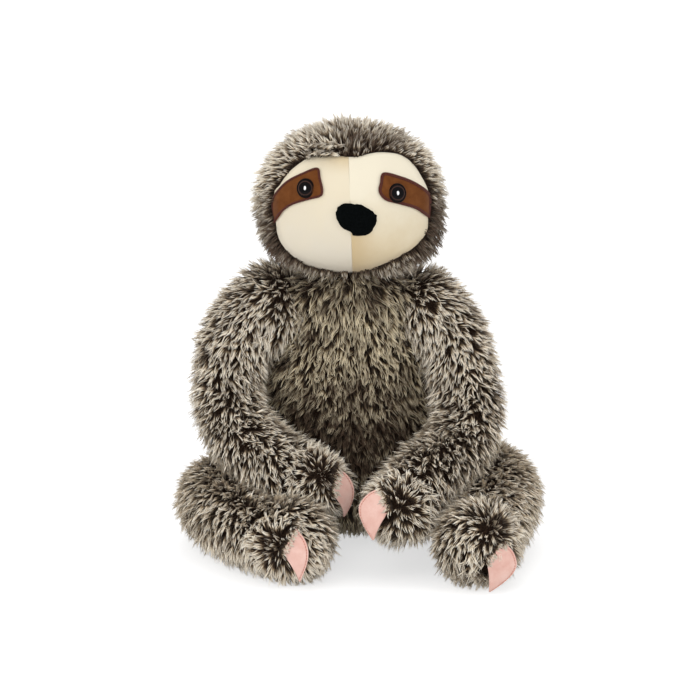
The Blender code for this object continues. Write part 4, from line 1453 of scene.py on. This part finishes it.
@dataclass
class Claw:
    """One crescent claw of two suede layers, topstitched along its outer edge."""

    paw: str
    side: Side
    root_way: tuple[float, float, float]
    point_way: tuple[float, float]
    outer: int
    curl: float
    cup: float = 0.0  # how far the convex half folds up
    sections: tuple[tuple[float, float, float, float], ...] = FULL_CRESCENT
    length: float = 33.5 * MM
    thickness: float = 2.6 * MM
    seam_in: float = 1.7 * MM  # from the convex edge to the topstitching
    root_cover: float = 6.5 * MM  # how much of the root the pile may cover

    @property
    def name(self) -> str:
        """Return the claw's node."""
        return f"{self.paw}_claw_{self.side.value}"

    def joint(self) -> dict[str, Any]:
        """Return the joint that bends this claw."""
        wanted = f"claw_bend_{self.paw}_{self.side.value}"
        return next(joint for joint in frame["joints"] if joint["name"] == wanted)

    def axes(self) -> tuple[Array, Array, Array, Array]:
        """Return the root's middle, the way to the tip, the outward way and the way to the convex edge.

        Returns:
            The place and the three directions.
        """
        right, up, out = self.root_way
        normal = unit(RIGHT * right + FACE_UP * up + FACE_OUT * out)
        pointing = RIGHT * self.point_way[0] + FACE_UP * self.point_way[1]
        pointing = unit(pointing - normal * (pointing @ normal))
        return np.array(self.joint()["pos_m"]), pointing, normal, np.cross(normal, pointing) * self.outer

    def place(self, along: Array, side: Array, lift: Array) -> Array:
        """Return points of the claw after its curl and its fold.

        Args:
            along: Distance toward the tip, as a share of the length.
            side: Distance toward the convex edge, as a share of the length.
            lift: Distance above the middle of the two layers.

        Returns:
            Points in the frame.
        """
        root, pointing, normal, across = self.axes()
        bend = self.curl / self.length
        straight = self.length * 0.226
        distance = np.maximum(along * self.length - straight, 0)
        before = np.minimum(along * self.length, straight)
        angle = distance * bend
        forward = before + np.sin(angle) / bend
        inward = (1 - np.cos(angle)) / bend
        tilt = normal * np.cos(angle)[..., None] + pointing * np.sin(angle)[..., None]
        fold = self.cup * np.clip(side, 0, 1) ** 2 * self.length
        return (
            root + pointing * forward[..., None] - normal * inward[..., None]
            + across * (side * self.length)[..., None] + tilt * (lift + fold)[..., None]
        )

    def cuff(self) -> tuple[Array, Array, Array]:
        """Return where the pile that falls over the sewn root grows.

        Returns:
            Roots, outward directions and brushed directions.
        """
        rng = np.random.default_rng(91)
        count = 34
        start, end = np.array(self.sections[0][2:]), np.array(self.sections[0][:2])
        line = end - start
        over = np.array((-line[1], line[0])) / np.linalg.norm(line)
        share = np.linspace(-0.10, 1.12, count)[:, None] + rng.normal(0, 0.02, (count, 1))
        back = rng.uniform(0.5, 3.0, (count, 1)) * MM / self.length
        flat = start + line * share - over * back
        _, pointing, normal, across = self.axes()
        roots = self.place(flat[:, 0], flat[:, 1], rng.uniform(-1.5, 0.8, count) * MM)
        way = pointing * over[0] + across * over[1] + rng.normal(0, 0.22, (count, 3))
        return roots, np.tile(normal, (count, 1)), way

    def build(self, suede: bpy.types.Material, thread: bpy.types.Material) -> Array:
        """Make the claw and its stitches.

        Args:
            suede: The claw's material.
            thread: The stitches' material.

        Returns:
            Points over the claw, which the pile keeps clear of.
        """
        rows = curve_through(np.array(self.sections), 4)
        turns = np.linspace(0, 2 * math.pi, 52, endpoint=False)
        share = 0.5 + 0.5 * np.cos(turns)
        round_up = np.sin(turns)
        height = np.sign(round_up) * (0.35 + 0.65 * np.abs(round_up) ** 0.8) * (np.abs(round_up) > 0.01)
        inner, outer = rows[:, None, :2], rows[:, None, 2:]
        flat = inner + (outer - inner) * (1 - share)[None, :, None]
        # Each layer is plump inside the topstitching, which draws it down to a thin flange at the edge
        from_edge = np.linalg.norm(flat - outer, axis=2) * self.length
        from_edge = np.where(rows[:, :1] > 0.2, from_edge, 9 * MM)
        drawn = 0.45 * np.exp(-((from_edge - self.seam_in) / (0.55 * MM)) ** 2)
        drawn += 0.22 * (1 - smooth((from_edge - self.seam_in) / (1.2 * MM)))
        from_ends = np.minimum(np.linspace(0.15, 8, len(rows)), np.linspace(8, 0.12, len(rows)))
        taper = np.sqrt(np.clip(from_ends, 0, 1))
        lift = height[None] * (1 - drawn) * taper[:, None] * self.thickness / 2
        grid = self.place(flat[..., 0], flat[..., 1], lift)
        grid[..., 2] = np.maximum(grid[..., 2], FLOOR_ROOM)
        piece = grid_mesh(self.name + "_suede", grid, True, True)
        face_outward(piece)
        body = f"claw_{self.paw}_{self.side.value}"
        dress(piece, body, [suede], [self.name])
        self.build_stitches(rows, thread, body)
        # The pile may fall over the sewn root, from the first section's outer corner to its inner one
        start, end = rows[0, 2:], rows[0, :2]
        line = end - start
        share = np.clip((flat - start) @ line / (line @ line), 0, 1)
        free = np.linalg.norm(flat - start - share[..., None] * line, axis=2) * self.length > self.root_cover
        return grid[free]

    def build_stitches(self, rows: Array, thread: bpy.types.Material, body: str) -> None:
        """Make the row of stitches just inside the convex edge, on both faces.

        Args:
            rows: The claw's sections, close together.
            thread: The thread's material.
            body: The body that the stitches ride on.
        """
        inner, outer = rows[:, :2], rows[:, 2:]
        chord = np.linalg.norm(outer - inner, axis=1, keepdims=True) * self.length
        line = outer + (inner - outer) * np.minimum(self.seam_in / np.maximum(chord, 1e-6), 0.45)
        line = line[3:-2]
        steps = np.linalg.norm(np.diff(line, axis=0), axis=1) * self.length
        walk = np.concatenate(([0], np.cumsum(steps)))
        pitch, run, thick = 2.3 * MM, 1.9 * MM, 0.30 * MM
        points, loops, sizes = [], [], []
        for start in np.arange(0.4 * MM, walk[-1] - run, pitch):
            at = start + np.linspace(0, run, 4)
            flat = np.column_stack([np.interp(at, walk, line[:, axis]) for axis in range(2)])
            for layer in (1, -1):
                for ring in range(4):
                    size = thick * (0.5 if ring in (0, 3) else 1.0)
                    for turn in np.linspace(0, 2 * math.pi, 6, endpoint=False):
                        side = np.array([flat[ring, 1] + size * math.cos(turn) / self.length])
                        level = np.array([layer * (self.thickness * 0.22 + size * math.sin(turn))])
                        points.append(self.place(np.array([flat[ring, 0]]), side, level)[0])
                first = len(points) - 24
                for ring in range(3):
                    for spoke in range(6):
                        a, b = first + ring * 6 + spoke, first + ring * 6 + (spoke + 1) % 6
                        loops += [a, b, b + 6, a + 6] if layer > 0 else [a + 6, b + 6, b, a]
                        sizes.append(4)
                caps = ([first + i for i in range(6)], [first + 18 + i for i in range(6)])
                for index, cap in enumerate(caps):
                    loops += cap[::-1] if (index == 0) == (layer > 0) else cap
                    sizes.append(6)
        piece = build_mesh(self.name + "_stitches", np.array(points), np.array(loops), np.array(sizes))
        piece.data.vertices.foreach_set(
            "co", np.maximum(np.array(points), (-9, -9, FLOOR_ROOM)).astype(np.float32).ravel()
        )
        dress(piece, body, [thread])


# Arms and legs


@dataclass
class Limb:
    """One stuffed arm or leg: its path, its swelling radii, its cover and its coat."""

    kind: str
    side: Side
    joint: tuple[float, float, float]
    length: float
    path: tuple[tuple[float, float, float], ...]
    radii: tuple[float, ...]
    swirl: tuple[float, float]  # the pixel that the paw's pile is brushed away from
    coat: Coat
    swell: tuple[float, ...]  # how much further out than the frame's form the filling pushes the cover
    fall: float = 0.35  # how strongly the pile is brushed down rather than along the limb
    # Darker places in the pile: where it parts and shows its dark roots, and painted shade
    partings_and_shade: tuple[tuple[float, float, float, float], ...] = ()
    floor: bool = False  # the last number of a path row is then the height off the floor

    def stations(self) -> tuple[Array, Array]:
        """Return the path's places and radii in the frame.

        Returns:
            The places and their radii.
        """
        joint = np.array(self.joint)
        places = []
        for (outward, forward, upward), radius in zip(self.path, self.radii):
            place = joint + (RIGHT * outward * self.side.sign - BACK * forward) * self.length
            place[2] = radius + upward * self.length if self.floor else joint[2] + upward * self.length
            places.append(place)
        return np.array(places) + SEAT, np.array(self.radii)

    def shell(self) -> Shell:
        """Return the cover's form: a swelling tube with a round root and a round paw.

        Returns:
            The form, in its place.
        """
        places, radii = self.stations()
        fine = curve_through(np.column_stack((places, radii + np.array(self.swell) * MM)), 7)
        path, radius = fine[:, :3], fine[:, 3] - PILE_DEPTH
        heading = unit(np.gradient(path, axis=0))
        side = unit(np.cross(heading[0], UP))
        angles = np.linspace(0, 2 * math.pi, 52, endpoint=False)
        rows = []

        def ring(centre: Array, size: float) -> None:
            other = np.cross(turned, side)
            rows.append(centre + (np.cos(angles)[:, None] * side + np.sin(angles)[:, None] * other) * size)

        turned = heading[0]
        for turn in np.linspace(0.04, math.pi / 2, 7):
            ring(path[0] - turned * radius[0] * math.cos(turn), radius[0] * math.sin(turn))
        for index in range(1, len(path)):
            turned = heading[index]
            side = unit(side - turned * (side @ turned))
            ring(path[index], radius[index])
        for turn in np.linspace(math.pi / 2, 0.04, 8)[1:]:
            ring(path[-1] + turned * radius[-1] * math.cos(turn), radius[-1] * math.sin(turn))
        return Shell(np.array(rows))

    def swirl_point(self) -> Array:
        """Return the place on the paw that its pile is brushed away from.

        Returns:
            The place in the frame.
        """
        places, radii = self.stations()
        x, v = from_photo(*self.swirl)
        paw = places[-1] - SEAT
        right, up = (x - paw @ RIGHT) / radii[-1], (v - paw @ FACE_UP) / radii[-1]
        size = math.hypot(right, up)
        if size > 0.92:
            right, up = right * 0.92 / size, up * 0.92 / size
        out = math.sqrt(1 - right * right - up * up)
        return places[-1] + (RIGHT * right + FACE_UP * up + FACE_OUT * out) * (radii[-1] - PILE_DEPTH)

    def build(
        self,
        ground: bpy.types.Material,
        pile: bpy.types.Material,
        claw: Array,
        cuff: tuple[Array, Array, Array],
    ) -> None:
        """Make the cover and its coat, which keeps clear of the claw but falls over its root.

        Args:
            ground: The backing's material.
            pile: The coat's material.
            claw: Points over this paw's claw.
            cuff: Roots and directions of the pile over the claw's root.
        """
        name = f"{self.kind}_{self.side.value}"
        shell = self.shell()
        cover = shell.build(name + "_cover", 1.2 * MM, self.coat.seed + 1)
        nodes = [f"{self.kind}_skin_{self.side.value}", f"{self.kind}_stuffing_{self.side.value}"]
        dress(cover, name, [ground], nodes)
        rng = np.random.default_rng(self.coat.seed)
        roots, out, along = shell.scatter(self.coat.spacing, rng)
        swirl = self.swirl_point()
        away = roots - swirl
        near = smooth(1.35 - np.linalg.norm(away, axis=1) / (27 * MM))[:, None]
        stray = waves(roots, 24 * MM, self.coat.seed + 2)[:, None]
        side = np.cross(out, along)
        way = unit(along - UP * self.fall + side * 0.5 * stray) * (1 - near) + unit(away) * near * 1.2
        clear = np.ones(len(roots), dtype=bool)
        tips = roots + out * 8 * MM + unit(way) * 5 * MM
        for index in range(0, len(roots), 500):
            part = slice(index, index + 500)
            gap = np.linalg.norm(tips[part, None] - claw[None], axis=2).min(axis=1)
            clear[part] = gap > 3.4 * MM
        centre = np.exp(-(np.linalg.norm(away, axis=1) / (11 * MM)) ** 2)
        dark = front_spots(roots, out, self.partings_and_shade) + 0.38 * centre
        tone = self.coat.tone + 0.15 * waves(roots, 16 * MM, self.coat.seed + 3) - dark
        tone -= 0.30 * clumps(roots, 20 * MM, self.coat.seed + 5)
        scale = np.clip(1.0 - 0.3 * centre, 0.5, 1.0)
        scale = np.where(roots[:, 2] < 7 * MM, 0.55, scale)
        upright = 0.7 * centre
        many = len(cuff[0])
        self.coat.grow(
            (name + "_fur",), name, pile,
            np.vstack((roots[clear], cuff[0])), np.vstack((out[clear], cuff[1])),
            np.vstack((way[clear], cuff[2])), np.concatenate((scale[clear], np.full(many, 0.52))),
            np.concatenate((tone[clear], np.full(many, 0.72))),
            np.concatenate((upright[clear], np.full(many, -0.3))),
        )


# Studio


@dataclass
class Studio:
    """A white floor, soft lamps and the camera of the photograph."""

    distance: float = 6.0
    target: tuple[float, float, float] = (-5.2 * MM, 31.6 * MM, 158.2 * MM)
    picture: float = 560 * MM  # what the photograph's 700 pixels show at the toy

    def build(self) -> None:
        """Make the floor, the lamps, the world and the camera."""
        self.build_floor()
        self.build_world()
        self.add_lamp("key_softbox", (-0.9, -1.9, 2.1), 1.5, 8.0)
        self.add_lamp("right_softbox", (2.1, -0.9, 0.9), 1.5, 15.0)
        self.add_lamp("left_softbox", (-2.1, -0.9, 0.9), 1.5, 14.0)
        self.add_lamp("top_softbox", (0.1, 0.5, 2.4), 1.8, 8.0)
        self.add_lamp("front_softbox", (-0.2, -2.7, 0.8), 1.0, 19.0)
        self.add_lamp("back_softbox", (0.4, 2.6, 1.4), 1.8, 12.0)
        self.build_camera()
        view = bpy.context.scene.view_settings
        view.view_transform = "Standard"

    def add_lamp(self, name: str, place: tuple[float, float, float], size: float, power: float) -> None:
        """Add a square soft lamp that looks at the toy.

        Args:
            name: The lamp's name.
            place: Where it stands.
            size: Its side in metres.
            power: Its power in watts.
        """
        data = bpy.data.lights.new(name, "AREA")
        data.size = size
        data.energy = power
        lamp = bpy.data.objects.new(name, data)
        bpy.context.scene.collection.objects.link(lamp)
        lamp.visible_glossy = False
        lamp.location = place
        lamp.rotation_euler = (Vector(place) - Vector((0, 0, 0.15))).to_track_quat("Z", "Y").to_euler()

    def seen_directly(self, tree: bpy.types.NodeTree) -> bpy.types.NodeSocket:
        """Return 1 for rays from the camera, a reflection or a clear surface, and 0 for the light itself.

        Args:
            tree: The node tree that asks.

        Returns:
            The socket with that number.
        """
        light = add_node(tree, "ShaderNodeLightPath", {})
        seen = light.outputs["Is Camera Ray"]
        for kind in ("Is Glossy Ray", "Is Transmission Ray"):
            either = {0: seen, 1: light.outputs[kind]}
            seen = add_node(tree, "ShaderNodeMath", either, operation="MAXIMUM").outputs[0]
        return seen

    def build_floor(self) -> None:
        """Make the floor: white for the camera, and it keeps the toy's shadow."""
        size = 9.0
        points = np.array([(-size, -size, 0), (size, -size, 0), (size, size, 0), (-size, size, 0)])
        floor = build_mesh("floor", points, np.arange(4), np.array([4]))
        made, tree, shader = new_material("white_paper")
        shader.inputs["Base Color"].default_value = (0.62, 0.62, 0.62, 1)
        shader.inputs["Roughness"].default_value = 1.0
        shader.inputs["Specular IOR Level"].default_value = 0.0
        glow = add_node(tree, "ShaderNodeMath", {0: self.seen_directly(tree), 1: 0.62}, operation="MULTIPLY")
        tree.links.new(glow.outputs[0], shader.inputs["Emission Strength"])
        shader.inputs["Emission Color"].default_value = (1, 1, 1, 1)
        floor.data.materials.append(made)

    def build_world(self) -> None:
        """Make the world: white where the camera or a reflection sees it, and a soft even light elsewhere."""
        world = bpy.data.worlds.new("studio")
        world.use_nodes = True
        bpy.context.scene.world = world
        tree = world.node_tree
        back = tree.nodes["Background"]
        strength = add_node(tree, "ShaderNodeMapRange", {0: self.seen_directly(tree), 3: 0.56, 4: 1.0})
        back.inputs[0].default_value = (1, 1, 1, 1)
        tree.links.new(strength.outputs[0], back.inputs[1])

    def build_camera(self) -> None:
        """Make the camera at the photograph's angle."""
        data = bpy.data.cameras.new("camera")
        data.sensor_width = data.sensor_height = 36.0
        data.lens = 36.0 * self.distance / self.picture
        data.clip_end = 60
        camera = bpy.data.objects.new("camera", data)
        bpy.context.scene.collection.objects.link(camera)
        camera.location = Vector(self.target) + Vector(FACE_OUT) * self.distance
        camera.rotation_euler = (math.pi / 2 - VIEW_TILT, 0, 0)
        bpy.context.scene.camera = camera


# The toy


def make_limbs() -> list[Limb]:
    """Return the arms and legs as the photograph poses them.

    Returns:
        The four limbs.
    """
    arm_length, leg_length = 150 * MM, 150 * MM
    arm_joint = (58 * MM, -62 * MM, -8 * MM, 192 * MM)
    shoulder, arm, hip, leg, foot = 30 * MM, 28.5 * MM, 33 * MM, 32 * MM, 35 * MM
    floor_cut = 0.5 * MM
    leg_lean = math.radians(52)
    return [
        Limb(
            "arm", Side.LEFT, (arm_joint[0], arm_joint[2], arm_joint[3]), arm_length,
            ((0, 0, 0), (0.135, 0.033, -0.140), (0.218, 0.120, -0.355), (0.240, 0.253, -0.540),
             (0.150, 0.440, -0.690), (0.000, 0.640, -0.770), (-0.113, 0.760, -0.887)),
            (shoulder, arm, arm, arm, arm, arm, 30.5 * MM), (397, 505),
            Coat(seed=51, tone=1.00), (3.0, 2.0, 0, 0, 0, 0, 0), 0.35,
            ((423, 262, 14, 0.30), (428, 352, 9, 0.3), (445, 372, 12, 0.2)),
        ),
        Limb(
            "arm", Side.RIGHT, (arm_joint[1], arm_joint[2], arm_joint[3]), arm_length,
            ((0, 0, 0), (0.160, 0.040, -0.140), (0.232, 0.120, -0.350), (0.207, 0.253, -0.547),
             (0.093, 0.387, -0.667), (-0.093, 0.493, -0.773), (-0.233, 0.547, -0.827)),
            (shoulder, arm, arm, arm, arm, arm, 27 * MM), (325, 467),
            Coat(seed=61, tone=1.01), (6.5, 3.5, 0, 0, 0, 0, 0), 0.35,
            ((233, 388, 13, 0.35), (212, 448, 12, 0.3), (285, 470, 16, 0.25)),
        ),
        # Painted light: the legs' pile is drawn paler than the arms', the right leg palest
        Limb(
            "leg", Side.LEFT, (74 * MM, 6 * MM, 0.0), leg_length,
            ((0, 0, 0), (0.205, 0.080, 0.045), (0.262, 0.280, 0.070), (0.240, 0.540, 0.045),
             (0.200, 0.790, 0.015), (0.173, 0.987, 0.000)),
            tuple(r - floor_cut for r in (hip, leg, leg, leg, leg, foot)), (500, 517),
            Coat(seed=71, tone=1.07, lean=leg_lean, underwool=1), (5, 8, 8, 5, 2, 0), 1.3,
            ((440, 545, 16, 0.3),), True,
        ),
        Limb(
            "leg", Side.RIGHT, (74 * MM * -1, 6 * MM, 0.0), leg_length,
            ((0, 0, 0), (0.165, 0.105, 0.020), (0.190, 0.310, 0.040), (0.105, 0.580, 0.030),
             (-0.030, 0.780, 0.010), (-0.187, 0.927, 0)),
            tuple(r - floor_cut for r in (hip, leg, leg, leg, leg, foot)), (272, 552),
            Coat(seed=81, tone=1.12, lean=leg_lean, underwool=1), (4, 4, 3, 1, 0, 0), 1.3,
            ((205, 520, 14, 0.3), (245, 500, 12, 0.2)), True,
        ),
    ]


def make_claws() -> dict[tuple[str, Side], Claw]:
    """Return the four claws by paw and side.

    Returns:
        The four claws.
    """
    slight, strong = math.radians(24), math.radians(58)
    claws = [
        Claw("hand", Side.LEFT, (-0.48, 0.14, 0.87), (-0.29, -0.956), -1, slight),
        Claw("hand", Side.RIGHT, (0.60, 0.05, 0.80), (0.50, -0.866), 1, strong, 0.35, SLIM_CRESCENT),
        Claw("foot", Side.LEFT, (0.42, -0.22, 0.88), (-0.04, -1.0), 1, slight),
        Claw("foot", Side.RIGHT, (-0.02, -0.04, 1.00), (0.203, -0.979), 1, slight, 0.0, SLIM_CRESCENT),
    ]
    return {(claw.paw, claw.side): claw for claw in claws}


def dress_washers() -> None:
    """Give the locking washers behind the face their own plastic."""
    plastic = MouldedPlastic("white_polypropylene", "#dededb", "#ecece9", 0.45, 0.0).build()
    for side in Side:
        node = frame["nodes"]["eye_washer_" + side.value]
        for spot in node.material_slots:
            spot.material = plastic
        LOG.info("%s: carried over", node.name)


def main() -> None:
    """Build the studio and the toy, piece by piece."""
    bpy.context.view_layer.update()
    Studio().build()
    ground = KnitGround().build()
    # The body's pile is a darker, yellower copy of the limbs' pile: painted shade on the belly and neck,
    # which lie under the head and arms
    shaded_body_pile = TippedPile(
        "belly_pile_painted_shade", root="#0a0604", low="#2a1d12", middle="#8c7657", high="#dfceac", tip="#faefd2"
    ).build()
    head_pile = TippedPile("head_pile", high="#f0e3cc", tip="#fffaee").build()
    limb_pile = TippedPile("limb_pile").build()
    Torso().build(ground, shaded_body_pile)
    Neck().build(ground, shaded_body_pile)
    form = HeadForm()
    Head(form).build(ground, head_pile)
    seam_x = float(form.seam_at(np.zeros(1))[0] + SEAT[0])
    face = Face(form)
    # The last colour and the three numbers of each panel place its painted shade: below the nose beside the
    # seam on one panel, under the forelock on the other
    warm = Velboa("velboa_warm", "#ebe2cc", "#dac8a6", "#cfb890", seam_x, 26 * MM, 262 * MM, 284 * MM)
    pale = Velboa("velboa_pale", "#e6dac1", "#e2d9c7", "#d0b98e", seam_x, -34 * MM, 332 * MM, 312 * MM)
    face.build_half(Side.LEFT, warm.build())
    face.build_half(Side.RIGHT, pale.build())
    suede = Suede("brown_microsuede", "#5f3516", "#734421").build()
    thread = SatinThread("brown_embroidery", "#38170f", "#5c3129").build()
    EyePatch(
        form, Side.RIGHT,
        ((317.5, 167.5), (320.5, 178), (323, 190), (320.5, 196.5), (307, 200), (290, 205.5), (278.5, 215),
         (272.5, 224), (270.5, 212), (271, 199), (277, 189.5), (287, 180), (303, 172)),
        1.9 * MM,
    ).build(suede, thread)
    EyePatch(
        form, Side.LEFT,
        ((383.5, 172.5), (380, 183), (379, 192), (385.5, 200), (400, 204), (416, 208.5),
         (431, 217), (432.5, 206),
         (431, 193), (417, 182.5), (401, 176)),
        2.6 * MM,
    ).build(suede, thread)
    eye_plastic = EyePlastic().build()
    Eye(form, Side.RIGHT, (305.6, 188.1)).build(eye_plastic)
    Eye(form, Side.LEFT, (397.3, 193)).build(eye_plastic)
    Nose(form).build(Flock().build())
    pink = Suede("pink_microsuede", "#e5b5a7", "#f1cbbf", cloud=9 * MM).build()
    pink_thread = SatinThread("pink_thread", "#b96c58", "#d08a77").build()
    claws = make_claws()
    for limb in make_limbs():
        paw = "hand" if limb.kind == "arm" else "foot"
        claw = claws[(paw, limb.side)]
        limb.build(ground, limb_pile, claw.build(pink, pink_thread), claw.cuff())
    dress_washers()


if __name__ == "__main__":
    logging.basicConfig(level=logging.INFO)
    main()
